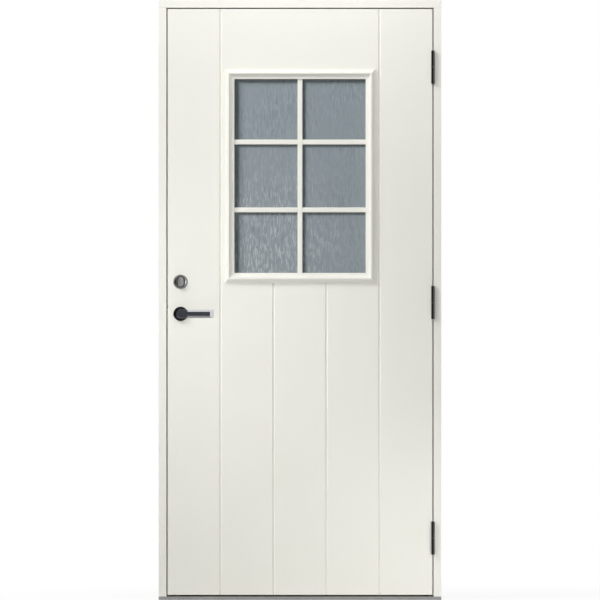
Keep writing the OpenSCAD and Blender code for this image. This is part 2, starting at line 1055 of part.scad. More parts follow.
// Journals of the hub and the cam, and the long bolts, pass through both sides of the lock
module side_ways() {
    rod_y(hub_x, handle_z, hub_journal_r + run_fit, box_y0 - 1, box_y1 + 1);
    rod_y(hub_x, cam_z, cam_journal_r + run_fit, box_y0 - 1, box_y1 + 1);
    for (s = [-1, 1]) {
        rod_y(hub_x + s * rose_bolt_dx, handle_z, rose_bolt_r + hole_fit, box_y0 - 1, box_y1 + 1);
        rod_y(hub_x + s * ring_bolt_dx, ring_bolt_z, ring_bolt_r + hole_fit, box_y0 - 1, box_y1 + 1);
    }
}

module lock_box() {
    color("LightGray")
        difference() {
            block(box_x0, box_x1, box_y0, work_y1, box_z0, box_z1);
            block(box_x0 + box_wall, box_x1 - box_wall, work_y0, box_y1, box_z0 + box_wall,
                box_z1 - box_wall);
            side_ways();
            front_ways();
        }
}

module lock_cover() {
    color("LightGray")
        difference() {
            block(box_x0, box_x1, work_y1, box_y1, box_z0, box_z1);
            side_ways();
        }
}

// Follower turned by the spindle; its arm draws the latch back
module hub() {
    color("Goldenrod")
        difference() {
            union() {
                rod_y(hub_x, handle_z, hub_r, work_y0 + slide_fit, work_y1 - slide_fit);
                rod_y(hub_x, handle_z, hub_journal_r, box_y0, box_y1);
                block(hub_x - hub_arm_w / 2, hub_x + hub_arm_w / 2, mid_y - arm_t / 2, mid_y + arm_t / 2,
                    handle_z, handle_z + hub_arm);
            }
            block(hub_x - spindle_w / 2 - push_fit, hub_x + spindle_w / 2 + push_fit, box_y0 - 1, box_y1 + 1,
                handle_z - spindle_w / 2 - push_fit, handle_z + spindle_w / 2 + push_fit);
        }
}

module latch_bolt() {
    nose = -leaf_x - latch_throw;
    tab = hub_x + hub_arm_w / 2 + hub_lash;
    color("Silver") {
        run_z(latch_z0, latch_z0 + latch_h)
            polygon([
                [nose, mid_y - latch_t / 2],
                [nose + latch_step, mid_y - latch_t / 2 + latch_step],
                [-leaf_x, mid_y + latch_t / 2],
                [-leaf_x + latch_h, mid_y + latch_t / 2],
                [-leaf_x + latch_h, mid_y - latch_t / 2]
            ]);
        block(-leaf_x + latch_h - 1, tab + latch_tab_w, mid_y - arm_t / 2, mid_y + arm_t / 2,
            latch_z0 + latch_step, latch_z0 + latch_h - latch_step);
        block(tab, tab + latch_tab_w, mid_y - arm_t / 2, mid_y + arm_t / 2, latch_tab_z0,
            latch_z0 + latch_step + 1);
    }
}

module dead_bolt() {
    fork_x = hub_x + bolt_throw / 2;
    color("Silver")
        difference() {
            block(-leaf_x, fork_x + fork_w / 2 + bolt_tail, mid_y - bolt_t / 2, mid_y + bolt_t / 2,
                bolt_z0, bolt_z0 + bolt_h);
            block(fork_x - fork_w / 2, fork_x + fork_w / 2, mid_y - bolt_t, mid_y + bolt_t,
                bolt_z0 - 1, cam_z + cam_reach + cam_tip_r + 1);
        }
}

// Cam in the fork of the dead bolt, drawn with the bolt withdrawn
module bolt_cam() {
    color("Goldenrod")
        difference() {
            union() {
                rod_y(hub_x, cam_z, cam_r, work_y0 + slide_fit, work_y1 - slide_fit);
                rod_y(hub_x, cam_z, cam_journal_r, box_y0, box_y1);
                translate([hub_x, 0, cam_z])
                    rotate([0, 45, 0]) {
                        block(-cam_neck / 2, cam_neck / 2, mid_y - arm_t / 2, mid_y + arm_t / 2, 0,
                            cam_reach);
                        rod_y(0, cam_reach, cam_tip_r, mid_y - arm_t / 2, mid_y + arm_t / 2);
                    }
            }
            block(hub_x - tail_w / 2 - push_fit, hub_x + tail_w / 2 + push_fit, box_y0 - 1, box_y1 + 1,
                cam_z - tail_w / 2 - push_fit, cam_z + tail_w / 2 + push_fit);
        }
}

// Handle

module spindle() {
    end = leaf_y0 - socket_y0;
    color("Silver")
        block(hub_x - spindle_w / 2, hub_x + spindle_w / 2, leaf_y0 - end, leaf_y1 + end,
            handle_z - spindle_w / 2, handle_z + spindle_w / 2);
}

// Long bevels on the front of a lever, which start where its head ends
module lever_bevels() {
    h2 = lever_h / 2;
    f2 = lever_face / 2;
    slope = (h2 - f2) / lever_bevel_y;
    translate([hub_x + lever_head, 0, handle_z])
        for (flip = [0, 1])
            mirror([0, 0, flip])
                run_x(0, lever_len)
                    polygon([
                        [lever_y0 - 1, f2 - slope],
                        [lever_y0 + lever_bevel_y + 1, h2 + slope],
                        [lever_y0 - 1, h2 + slope]
                    ]);
}

// Straight lever with a flat round head over its neck, a bevelled bar and a sloping tip
module lever_blank() {
    h2 = lever_h / 2;
    yb = lever_y1 - lever_back_bevel;
    difference() {
        union() {
            translate([hub_x, 0, handle_z])
                run_x(0, lever_len)
                    polygon([
                        [lever_y0, -h2],
                        [yb, -h2],
                        [lever_y1, -h2 + lever_back_bevel],
                        [lever_y1, h2 - lever_back_bevel],
                        [yb, h2],
                        [lever_y0, h2]
                    ]);
            rod_y(hub_x, handle_z, h2, lever_y0, yb);
            taper_y(hub_x, handle_z, yb, lever_y1, h2, h2 - lever_back_bevel);
            rod_y(hub_x, handle_z, neck_r, lever_y1 - 1, neck_y1);
        }
        lever_bevels();
        run_z(handle_z - lever_h, handle_z + lever_h)
            polygon([
                [hub_x + lever_len - lever_tip, lever_y0],
                [hub_x + lever_len, lever_y0 + lever_tip],
                [hub_x + lever_len + 1, lever_y0 + lever_tip],
                [hub_x + lever_len + 1, lever_y0 - 1],
                [hub_x + lever_len - lever_tip, lever_y0 - 1]
            ]);
        block(hub_x - spindle_w / 2 - push_fit, hub_x + spindle_w / 2 + push_fit, socket_y0 - push_fit,
            neck_y1 + 1, handle_z - spindle_w / 2 - push_fit, handle_z + spindle_w / 2 + push_fit);
    }
}

module outer_lever() {
    color("DimGray")
        lever_blank();
}

module inner_lever() {
    color("DimGray")
        on_inside()
            lever_blank();
}

// A turned disc on the outer face of the leaf, from its section as radius and height
module turned(z, section) {
    translate([hub_x, leaf_y0, z])
        rotate([90, 0, 0])
            rotate_extrude()
                polygon(section);
}

// Flat rose with a softened edge
module rose_blank(z) {
    rise = rose_t - rose_side;
    turned(z, [
        [0, 0],
        [rose_r, 0],
        [rose_r, rose_side],
        [rose_r - 0.15 * rose_soft, rose_side + 0.5 * rise],
        [rose_r - 0.45 * rose_soft, rose_side + 0.85 * rise],
        [rose_r - rose_soft, rose_t],
        [0, rose_t]
    ]);
}

// Bolts that draw the outer and inner roses together through the leaf
module rose_bolt_rods(extra) {
    for (s = [-1, 1]) {
        rod_y(hub_x + s * rose_bolt_dx, handle_z, rose_bolt_r + extra, leaf_y0 - bolt_end - extra,
            leaf_y1 + bolt_end + extra);
        rod_y(hub_x + s * ring_bolt_dx, ring_bolt_z, ring_bolt_r + extra, leaf_y0 - bolt_end - extra,
            leaf_y1 + bolt_end + extra);
    }
}

module rose_bolts() {
    color("Silver")
        rose_bolt_rods(0);
}

module lever_rose() {
    difference() {
        rose_blank(handle_z);
        rod_y(hub_x, handle_z, neck_r + run_fit, leaf_y0 - rose_t - 1, leaf_y0 + 1);
    }
}

module outer_rose() {
    color("DimGray")
        difference() {
            lever_rose();
            rose_bolt_rods(push_fit);
        }
}

module inner_rose() {
    color("DimGray")
        difference() {
            on_inside()
                lever_rose();
            rose_bolt_rods(push_fit);
        }
}

// Guard ring: a round foot drawn up to an oval collar round the cylinder
module ring_blank() {
    $fn = 36;
    hull() {
        rod_y(hub_x, oval_z, rose_r, leaf_y0 - ring_side, leaf_y0);
        oval_y(hub_x, oval_z, recess_w + 2 * ring_collar, recess_h + 2 * ring_collar,
            leaf_y0 - ring_t, leaf_y0);
    }
}

module cylinder_ring() {
    color("Silver")
        difference() {
            ring_blank();
            oval_y(hub_x, oval_z, recess_w, recess_h, leaf_y0 - ring_t - 1,
                leaf_y0 - ring_t + recess_deep);
            oval_y(hub_x, oval_z, oval_w + 2 * push_fit, oval_h + 2 * push_fit, leaf_y0 - ring_t,
                leaf_y0 + 1);
            rose_bolt_rods(push_fit);
        }
}

module cylinder_body() {
    color("Gainsboro")
        difference() {
            oval_y(hub_x, oval_z, oval_w, oval_h, cyl_y0, box_y0);
            rod_y(hub_x, cam_z, plug_r + run_fit, cyl_y0 - 1, plug_y1 + slide_fit);
        }
}

module cylinder_plug() {
    color("Goldenrod")
        difference() {
            rod_y(hub_x, cam_z, plug_r, cyl_y0 - plug_proud, plug_y1);
            block(hub_x - keyway_w / 2, hub_x + keyway_w / 2, cyl_y0 - 1, cyl_y0 + keyway_deep,
                cam_z - keyway_h / 2, cam_z + keyway_h / 2);
        }
}

module turn_rose() {
    color("Silver")
        difference() {
            on_inside()
                rose_blank(oval_z);
            rod_y(hub_x, cam_z, turn_r + run_fit, leaf_y1 - 1, leaf_y1 + rose_t + 1);
            rose_bolt_rods(push_fit);
        }
}

// Thumb turn: an oval grip, a round neck through the rose and a square tail in the cam
module thumb_turn() {
    color("Silver") {
        oval_y(hub_x, cam_z, turn_grip_w, turn_grip_h, turn_face_y + turn_collar,
            turn_face_y + turn_collar + turn_grip_t);
        rod_y(hub_x, cam_z, turn_r + turn_collar, turn_face_y + slide_fit, turn_face_y + turn_collar + 1);
        rod_y(hub_x, cam_z, turn_r, turn_y0, turn_face_y + 1);
        block(hub_x - tail_w / 2, hub_x + tail_w / 2, work_y0, turn_y0 + 1, cam_z - tail_w / 2,
            cam_z + tail_w / 2);
    }
}

lock_jamb();
hinge_jamb();
head_jamb();
threshold();
threshold_plate();
frame_seal();
fixing_sleeves();
strike_plate();
frame_screws();
frame_hinge_top();
frame_hinge_middle();
frame_hinge_bottom();
hinge_pins();
hinge_washers();
outer_skin();
inner_skin();
lock_stile();
hinge_stile();
top_rail();
bottom_rail();
window_rails();
window_studs();
insulation_boards();
outer_pane();
middle_pane();
inner_pane();
glass_spacers();
glazing_blocks();
glazing_gaskets();
outer_moulding_top();
outer_moulding_bottom();
outer_moulding_lock_side();
outer_moulding_hinge_side();
inner_mouldings();
outer_upright_bar();
outer_level_bars();
inner_upright_bar();
inner_level_bars();
leaf_hinge_top();
leaf_hinge_middle();
leaf_hinge_bottom();
leaf_screws();
lock_box();
lock_cover();
lock_faceplate();
outer_rose();
inner_rose();
cylinder_ring();
cylinder_body();
turn_rose();
rose_bolts();
outer_lever();
inner_lever();
spindle();
hub();
latch_bolt();
dead_bolt();
thumb_turn();
bolt_cam();
cylinder_plug();
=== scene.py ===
import json
from math import cos, pi, radians, sin, tau

import bmesh
import bpy
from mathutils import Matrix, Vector

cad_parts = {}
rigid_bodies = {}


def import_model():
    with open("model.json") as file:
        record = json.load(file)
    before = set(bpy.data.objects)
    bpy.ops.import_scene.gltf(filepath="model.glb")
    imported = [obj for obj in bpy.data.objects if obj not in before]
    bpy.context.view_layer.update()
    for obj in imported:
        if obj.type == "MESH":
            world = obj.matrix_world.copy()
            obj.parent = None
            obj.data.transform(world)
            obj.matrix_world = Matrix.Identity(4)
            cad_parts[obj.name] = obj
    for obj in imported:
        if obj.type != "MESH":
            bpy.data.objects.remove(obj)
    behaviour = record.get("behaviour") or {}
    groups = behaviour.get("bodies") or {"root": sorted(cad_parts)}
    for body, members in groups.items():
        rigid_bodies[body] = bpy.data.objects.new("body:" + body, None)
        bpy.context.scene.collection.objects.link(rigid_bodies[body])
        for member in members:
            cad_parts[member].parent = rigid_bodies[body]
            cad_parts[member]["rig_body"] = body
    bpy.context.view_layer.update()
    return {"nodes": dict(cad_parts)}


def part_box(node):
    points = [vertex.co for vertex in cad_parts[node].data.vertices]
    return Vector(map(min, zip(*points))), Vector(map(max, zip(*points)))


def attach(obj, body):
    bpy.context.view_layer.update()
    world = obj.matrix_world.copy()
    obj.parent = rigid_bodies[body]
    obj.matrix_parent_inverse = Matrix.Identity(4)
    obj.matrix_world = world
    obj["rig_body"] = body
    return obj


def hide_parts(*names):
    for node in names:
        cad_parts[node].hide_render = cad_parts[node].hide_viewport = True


for leftover in list(bpy.data.objects):
    bpy.data.objects.remove(leftover)
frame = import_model()


# Jambs and head. Planed pine rebated for the leaf, with the head fixed over both uprights.
# They are primed and sprayed with satin off-white paint, after every edge has been eased by hand.

def linear(colour):
    """An sRGB hex colour as linear red, green, blue and alpha."""
    parts = [int(colour[i:i + 2], 16) / 255 for i in (0, 2, 4)]
    return [c / 12.92 if c <= 0.04045 else ((c + 0.055) / 1.055) ** 2.4 for c in parts] + [1.0]


def add(tree, kind, settings=None, sockets=None):
    """One node with its settings; each named socket gets a value or a link from an output."""
    node = tree.nodes.new(kind)
    for name, value in (settings or {}).items():
        setattr(node, name, value)
    for name, value in (sockets or {}).items():
        if isinstance(value, bpy.types.NodeSocket):
            tree.links.new(value, node.inputs[name])
        else:
            node.inputs[name].default_value = value
    return node


def finish_named(name, sockets):
    """A new material, with its tree, its shader and its Object coordinates."""
    material = bpy.data.materials.new(name)
    material.use_nodes = True
    tree = material.node_tree
    shader = tree.nodes["Principled BSDF"]
    for socket, value in sockets.items():
        shader.inputs[socket].default_value = value
    return material, tree, shader, add(tree, "ShaderNodeTexCoord").outputs["Object"]


def satin_paint(name, grain_way, grain_depth):
    """Satin alkyd sprayed on primed wood: a soft sheen, cloudy film, orange peel, and faint grain
    lines that run along the board. Peel of 2 mm is drawn at 5 mm so that it shows in the render."""
    material, tree, shader, place = finish_named(name, {"Roughness": 0.4, "IOR": 1.48})
    cloud = add(tree, "ShaderNodeTexNoise", None,
                {"Vector": place, "Scale": 1000 / 320, "Detail": 3.0})
    tint = add(tree, "ShaderNodeMix", {"data_type": "RGBA"},
               {0: cloud.outputs["Fac"], 6: linear("EFEEE5"), 7: linear("F4F3EC")})
    sheen = add(tree, "ShaderNodeMapRange", None,
                {"Value": cloud.outputs["Fac"], "To Min": 0.36, "To Max": 0.46})
    peel = add(tree, "ShaderNodeTexNoise", None,
               {"Vector": place, "Scale": 1000 / 5, "Detail": 2.0})
    stretch = add(tree, "ShaderNodeMapping", None, {"Vector": place, "Scale": grain_way})
    grain = add(tree, "ShaderNodeTexNoise", None,
                {"Vector": stretch.outputs[0], "Scale": 1000 / 3, "Detail": 3.0})
    peel_bump = add(tree, "ShaderNodeBump", None,
                    {"Height": peel.outputs["Fac"], "Strength": 0.12, "Distance": 0.0006})
    grain_bump = add(tree, "ShaderNodeBump", None,
                     {"Height": grain.outputs["Fac"], "Strength": 0.25, "Distance": grain_depth,
                      "Normal": peel_bump.outputs[0]})
    tree.links.new(tint.outputs[2], shader.inputs["Base Color"])
    tree.links.new(sheen.outputs[0], shader.inputs["Roughness"])
    tree.links.new(grain_bump.outputs[0], shader.inputs["Normal"])
    return material


def piece_from(name, mesh, material, body, slot, *nodes):
    """A finished piece at the origin that rides on a body and stands for CAD nodes."""
    mesh.materials.clear()
    mesh.materials.append(material)
    piece = bpy.data.objects.new(name, mesh)
    bpy.context.scene.collection.objects.link(piece)
    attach(piece, body)
    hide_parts(*nodes)
    return piece


def eased(node, ease, material, slot, segments=2):
    """A CAD node's shape with its sharp edges taken off, on the same body."""
    source = frame["nodes"][node]
    mesh = source.data.copy()
    if "custom_normal" in mesh.attributes:
        mesh.attributes.remove(mesh.attributes["custom_normal"])
    solid = bmesh.new()
    solid.from_mesh(mesh)
    bmesh.ops.remove_doubles(solid, verts=solid.verts, dist=1e-5)
    bmesh.ops.dissolve_limit(solid, angle_limit=radians(0.2), verts=solid.verts, edges=solid.edges)
    sharp = [e for e in solid.edges if e.is_manifold and e.calc_face_angle() > radians(28)]
    bmesh.ops.bevel(solid, geom=sharp, offset=ease, offset_type="OFFSET", segments=segments,
                    profile=0.6, affect="EDGES", clamp_overlap=True)
    solid.to_mesh(mesh)
    solid.free()
    mesh.shade_smooth()
    piece = piece_from(node + "_finished", mesh, material, source["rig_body"], slot, node)
    piece.modifiers.new("even_shading", "WEIGHTED_NORMAL")
    return piece


upright_paint = satin_paint("satin_paint_on_upright_pine", (1, 1, 0.02), 0.0004)
level_paint = satin_paint("satin_paint_on_level_pine", (0.02, 1, 1), 0.0004)
for jamb in ("lock_jamb", "hinge_jamb"):
    eased(jamb, 0.0012, upright_paint, "white_paint")
eased("head_jamb", 0.0012, level_paint, "white_paint")


# Threshold. A soaped oak sill with an upstand between the stops, and over its outer half a folded
# plate of anodised aluminium, ribbed against slipping and lipped to throw off the rain.

# Soaped oak is pale and dry to the eye, with growth lines along its length and fine dark pores.
oak, tree, shader, place = finish_named("planed_soaped_oak", {"Roughness": 0.55, "IOR": 1.5})
along = add(tree, "ShaderNodeMapping", None, {"Vector": place, "Scale": (0.04, 1, 1)})
rings = add(tree, "ShaderNodeTexNoise", None,
            {"Vector": along.outputs[0], "Scale": 1000 / 14, "Detail": 5.0, "Distortion": 0.6})
pores = add(tree, "ShaderNodeTexNoise", None,
            {"Vector": along.outputs[0], "Scale": 1000 / 1.6, "Detail": 2.0})
growth = add(tree, "ShaderNodeMix", {"data_type": "RGBA"},
             {0: rings.outputs["Fac"], 6: linear("A58E70"), 7: linear("DCCBAE")})
dark_pores = add(tree, "ShaderNodeMapRange", None,
                 {"Value": pores.outputs["Fac"], "From Min": 0.35, "From Max": 0.55, "To Min": 0.7})
wood = add(tree, "ShaderNodeMix", {"data_type": "RGBA", "blend_type": "MULTIPLY"},
           {0: 1.0, 6: growth.outputs[2], 7: dark_pores.outputs[0]})
pore_bump = add(tree, "ShaderNodeBump", None,
                {"Height": pores.outputs["Fac"], "Strength": 0.3, "Distance": 0.0005})
tree.links.new(wood.outputs[2], shader.inputs["Base Color"])
tree.links.new(pore_bump.outputs[0], shader.inputs["Normal"])
eased("threshold", 0.0012, oak, "oak")


def drawn_metal(name, colour, cloud_and_reflection_tone, roughness, line_way, line_mm, depth, cloud_mm=35):
    """A metal with fine lines left by drawing or brushing, a slightly cloudy sheen, and edges rubbed
    bright by use. The cloud between two tones is random tone, and on satin nickel it is painted
    reflection. Lines finer than about 1 mm are drawn coarser so that they show."""
    material, tree, shader, place = finish_named(name, {"Metallic": 1.0, "Roughness": roughness})
    way = add(tree, "ShaderNodeMapping", None, {"Vector": place, "Scale": line_way})
    lines = add(tree, "ShaderNodeTexNoise", None,
                {"Vector": way.outputs[0], "Scale": 1000 / line_mm, "Detail": 3.0})
    cloud = add(tree, "ShaderNodeTexNoise", None,
                {"Vector": place, "Scale": 1000 / cloud_mm, "Detail": 4.0})
    # On satin nickel this cloud of dark and near-white tone is painted reflection.
    tint = add(tree, "ShaderNodeMix", {"data_type": "RGBA"},
               {0: cloud.outputs["Fac"], 6: linear(colour), 7: linear(cloud_and_reflection_tone)})
    softened = add(tree, "ShaderNodeBevel", {"samples": 4}, {"Radius": 0.0012})
    square_on = add(tree, "ShaderNodeVectorMath", {"operation": "DOT_PRODUCT"},
                    {0: softened.outputs[0], 1: add(tree, "ShaderNodeNewGeometry").outputs["Normal"]})
    rub = add(tree, "ShaderNodeMapRange", None,
              {"Value": square_on.outputs["Value"], "From Min": 0.98, "From Max": 0.8, "To Max": 0.3})
    rubbed = add(tree, "ShaderNodeMix", {"data_type": "RGBA"},
                 {0: rub.outputs[0], 6: tint.outputs[2], 7: linear("E2E2E0")})
    sheen = add(tree, "ShaderNodeMapRange", None,
                {"Value": lines.outputs["Fac"], "To Min": roughness * 0.8, "To Max": roughness * 1.25})
    line_bump = add(tree, "ShaderNodeBump", None,
                    {"Height": lines.outputs["Fac"], "Strength": 0.2, "Distance": depth})
    tree.links.new(rubbed.outputs[2], shader.inputs["Base Color"])
    tree.links.new(sheen.outputs[0], shader.inputs["Roughness"])
    tree.links.new(line_bump.outputs[0], shader.inputs["Normal"])
    return material


# Anodised aluminium is a flat silver grey, with the drawing lines running the length of the sill.
anodised = drawn_metal("anodised_aluminium_drawn", "A4A4A2", "B8B8B6", 0.42, (0.01, 1, 1), 1.5, 0.0003)
eased("threshold_plate", 0.0004, anodised, "aluminium")


# Seal round the stop. One extruded length of EPDM rubber with a hollow bulb and a ribbed root,
# bent round the corners and pressed into a kerf by hand.

# Extruded rubber is a matt near-black, with a grey bloom in patches and a fine skin.
rubber, tree, shader, place = finish_named("extruded_rubber", {"Roughness": 0.62, "IOR": 1.5})
bloom = add(tree, "ShaderNodeTexNoise", None, {"Vector": place, "Scale": 1000 / 25, "Detail": 4.0})
skin = add(tree, "ShaderNodeTexNoise", None, {"Vector": place, "Scale": 1000 / 1.5})
tint = add(tree, "ShaderNodeMix", {"data_type": "RGBA"},
           {0: bloom.outputs["Fac"], 6: linear("17181A"), 7: linear("2B2C2E")})
skin_bump = add(tree, "ShaderNodeBump", None,
                {"Height": skin.outputs["Fac"], "Strength": 0.25, "Distance": 0.0003})
tree.links.new(tint.outputs[2], shader.inputs["Base Color"])
tree.links.new(skin_bump.outputs[0], shader.inputs["Normal"])


def node_tree(name, *inputs):
    """A Geometry Nodes tree with named number inputs; gives the tree, its input node and sockets."""
    tree = bpy.data.node_groups.new(name, "GeometryNodeTree")
    tree.interface.new_socket("Geometry", in_out="INPUT", socket_type="NodeSocketGeometry")
    tree.interface.new_socket("Geometry", in_out="OUTPUT", socket_type="NodeSocketGeometry")
    sockets = {
        i: tree.interface.new_socket(i, in_out="INPUT", socket_type="NodeSocketFloat").identifier
        for i in inputs
    }
    return tree, add(tree, "NodeGroupInput"), sockets


def close_tree(tree, geometry, material):
    """Ends a tree in Realize Instances and Set Material."""
    real = add(tree, "GeometryNodeRealizeInstances", None, {"Geometry": geometry})
    dressed = add(tree, "GeometryNodeSetMaterial", None,
                  {"Geometry": real.outputs[0], "Material": material})
    add(tree, "NodeGroupOutput", None, {"Geometry": dressed.outputs[0]})


def grown(start, tree, sockets, values):
    """The plain mesh that a tree makes from a starting mesh with these inputs."""
    seed = bpy.data.objects.new(tree.name + "_start", start)
    bpy.context.scene.collection.objects.link(seed)
    modifier = seed.modifiers.new(tree.name, "NODES")
    modifier.node_group = tree
    for name, value in values.items():
        modifier[sockets[name]] = value
    ready = seed.evaluated_get(bpy.context.evaluated_depsgraph_get())
    mesh = bpy.data.meshes.new_from_object(ready)
    seed.modifiers.remove(modifier)
    bpy.data.objects.remove(seed)
    solid = bmesh.new()
    solid.from_mesh(mesh)
    bmesh.ops.remove_doubles(solid, verts=solid.verts, dist=1e-6)
    bmesh.ops.recalc_face_normals(solid, faces=solid.faces)
    solid.to_mesh(mesh)
    solid.free()
    mesh.shade_smooth()
    mesh.set_sharp_from_angle(angle=radians(35))
    return mesh


def outline(points):
    """A closed line through points, as the section that a tree runs along a path."""
    mesh = bpy.data.meshes.new("section")
    mesh.from_pydata(points, [(i, (i + 1) % len(points)) for i in range(len(points))], [])
    return mesh


tree, given, sockets = node_tree("seal_round_stop", "Width", "Height", "Depth", "Middle", "Corner")
way = add(tree, "GeometryNodeCurvePrimitiveQuadrilateral", None,
          {"Width": given.outputs["Width"], "Height": given.outputs["Height"]})
bent = add(tree, "GeometryNodeFilletCurve", {"mode": "POLY"},
           {"Curve": way.outputs[0], "Radius": given.outputs["Corner"], "Count": 6})
middle = add(tree, "ShaderNodeCombineXYZ", None,
             {"Y": given.outputs["Depth"], "Z": given.outputs["Middle"]})
stood = add(tree, "GeometryNodeTransform", None,
            {"Geometry": bent.outputs[0], "Translation": middle.outputs[0], "Rotation": (pi / 2, 0, 0)})
section = add(tree, "GeometryNodeMeshToCurve", None, {"Mesh": given.outputs["Geometry"]})
run = add(tree, "GeometryNodeCurveToMesh", None,
          {"Curve": stood.outputs[0], "Profile Curve": section.outputs[0]})
close_tree(tree, run.outputs[0], rubber)
seal_low, seal_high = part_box("frame_seal")
bulb_w, bulb_h, bulb_steps = 0.008, 0.0037, 14
root_w, root_deep = 0.003, 0.005
bulb_turns = [pi * i / bulb_steps for i in range(bulb_steps + 1)]
bulb = [(-bulb_h * sin(a), bulb_w / 2 * cos(a), 0) for a in bulb_turns]
# The root as shares of its depth and half width, with two barbs on each side that grip the kerf.
root = [(d * root_deep, w * root_w / 2, 0) for d, w in (
    (0, -0.7), (0.25, -1), (0.3, -0.7), (0.6, -1), (0.65, -0.7), (1, -0.6),
    (1, 0.6), (0.65, 0.7), (0.6, 1), (0.3, 0.7), (0.25, 1), (0, 0.7))]
seal_mesh = grown(outline(bulb + root), tree, sockets, {
    "Width": seal_high.x - seal_low.x - bulb_w,
    "Height": seal_high.z - seal_low.z - bulb_w,
    "Depth": seal_low.y + bulb_h,
    "Middle": (seal_low.z + seal_high.z) / 2,
    "Corner": 0.006,
})
piece_from("stop_seal", seal_mesh, rubber, "frame", "rubber", "frame_seal")


# Fixing sleeves, strike plate and frame screws. Bright zinc-plated steel: turned sleeves that the
# wall screws pass through, a pressed strike let in flush, and cross-slotted countersunk screws.

# Zinc plate is a cool bright grey, cloudy where the bath left it thin.
zinc = drawn_metal("zinc_plated_steel", "B4B6B8", "C9C8C2", 0.3, (1, 1, 1), 2.5, 0.0002)
eased("fixing_sleeves", 0.0003, zinc, "zinc_steel")
eased("strike_plate", 0.0003, zinc, "zinc_steel")

tree, given, sockets = node_tree("countersunk_screws", "Head", "Shank", "Length", "Slot")
head = add(tree, "GeometryNodeMeshCone", None,
           {"Vertices": 28, "Radius Top": given.outputs["Shank"], "Radius Bottom": given.outputs["Head"],
            "Depth": given.outputs["Shank"]})
long_slot = add(tree, "ShaderNodeMath", {"operation": "MULTIPLY"}, {0: given.outputs["Head"], 1: 1.3})
slot_size = add(tree, "ShaderNodeCombineXYZ", None,
                {"X": long_slot.outputs[0], "Y": given.outputs["Slot"], "Z": given.outputs["Shank"]})
cut = add(tree, "GeometryNodeMeshCube", None, {"Size": slot_size.outputs[0]})
crossed = add(tree, "GeometryNodeTransform", None,
              {"Geometry": cut.outputs[0], "Rotation": (0, 0, pi / 2)})
slotted = add(tree, "GeometryNodeMeshBoolean", {"operation": "DIFFERENCE"}, {"Mesh 1": head.outputs[0]})
tree.links.new(cut.outputs[0], slotted.inputs["Mesh 2"])
tree.links.new(crossed.outputs[0], slotted.inputs["Mesh 2"])
shank = add(tree, "GeometryNodeMeshCone", None,
            {"Vertices": 16, "Radius Top": 0.0006, "Radius Bottom": given.outputs["Shank"],
             "Depth": given.outputs["Length"]})
below = add(tree, "ShaderNodeCombineXYZ", None, {"Z": given.outputs["Shank"]})
seated = add(tree, "GeometryNodeTransform", None,
             {"Geometry": shank.outputs[0], "Translation": below.outputs[0]})
whole = add(tree, "GeometryNodeJoinGeometry")
tree.links.new(slotted.outputs[0], whole.inputs[0])
tree.links.new(seated.outputs[0], whole.inputs[0])
driven = add(tree, "GeometryNodeInputNamedAttribute", {"data_type": "FLOAT_VECTOR"}, {"Name": "driven"})
aim = add(tree, "FunctionNodeAlignRotationToVector", {"axis": "Z"}, {"Vector": driven.outputs[0]})
screws = add(tree, "GeometryNodeInstanceOnPoints", None,
             {"Points": given.outputs["Geometry"], "Instance": whole.outputs[0],
              "Rotation": aim.outputs[0]})
close_tree(tree, screws.outputs[0], zinc)
screw_tree, screw_sockets = tree, sockets
screw_sizes = {"Head": 0.004, "Shank": 0.002, "Length": 0.020, "Slot": 0.0009}


def screw_set(places):
    """One mesh of screws; each place is the middle of a head and the way that it is driven."""
    mesh = bpy.data.meshes.new("screw_places")
    mesh.from_pydata([p for p, way in places], [], [])
    ways = mesh.attributes.new("driven", "FLOAT_VECTOR", "POINT")
    ways.data.foreach_set("vector", [c for p, way in places for c in way])
    return grown(mesh, screw_tree, screw_sockets, screw_sizes)


hinge_heights = (0.215, 1.031, 1.847)
hinge_spots = ((-0.0414, -0.03545), (-0.01495, -0.02832), (0.01495, -0.03545), (0.0414, -0.02832))
strike_screw_heights = (0.928, 1.06525, 1.172)
rebate_x, leaf_x, leaf_face, leaf_middle = 0.463, 0.459, -0.0525, -0.0215
jamb_screws = [((rebate_x, y, z + dz), (1, 0, 0)) for z in hinge_heights for dz, y in hinge_spots]
jamb_screws += [((-rebate_x, leaf_middle, z), (-1, 0, 0)) for z in strike_screw_heights]
piece_from("jamb_screws", screw_set(jamb_screws), zinc, "frame", "zinc_steel", "frame_screws")


# Hinges, frame halves. Lift-off hinges of burnished steel: a rolled knuckle on a plate let into the
# jamb, with a hard steel pin driven into it and a nylon washer that carries the leaf.

# Burnished steel is near black, with a sheen down the knuckles and edges worn paler.
hinge_steel = drawn_metal("burnished_hinge_steel", "3C3C3D", "4A4948", 0.34, (1, 1, 0.02), 1.2, 0.0002)
# Moulded nylon is charcoal here, with flow marks and light seeping a little way into it.
nylon, tree, shader, place = finish_named("moulded_nylon", {"Roughness": 0.4, "IOR": 1.53,
                                                            "Subsurface Weight": 0.15,
                                                            "Subsurface Radius": (1, 1, 1),
                                                            "Subsurface Scale": 0.002})
flow = add(tree, "ShaderNodeTexNoise", None, {"Vector": place, "Scale": 1000 / 4, "Detail": 3.0})
tint = add(tree, "ShaderNodeMix", {"data_type": "RGBA"},
           {0: flow.outputs["Fac"], 6: linear("46464A"), 7: linear("58585B")})
tree.links.new(tint.outputs[2], shader.inputs["Base Color"])
for half in ("frame_hinge_top", "frame_hinge_middle", "frame_hinge_bottom"):
    eased(half, 0.0005, hinge_steel, "hinge_steel")
eased("hinge_pins", 0.0005, zinc, "zinc_steel")
eased("hinge_washers", 0.0002, nylon, "nylon")


# Leaf core. Pine stiles and rails with studs round the window, and foam boards between them. The
# outer edges of the leaf are painted with the skins; the wood and foam inside stay as they came.

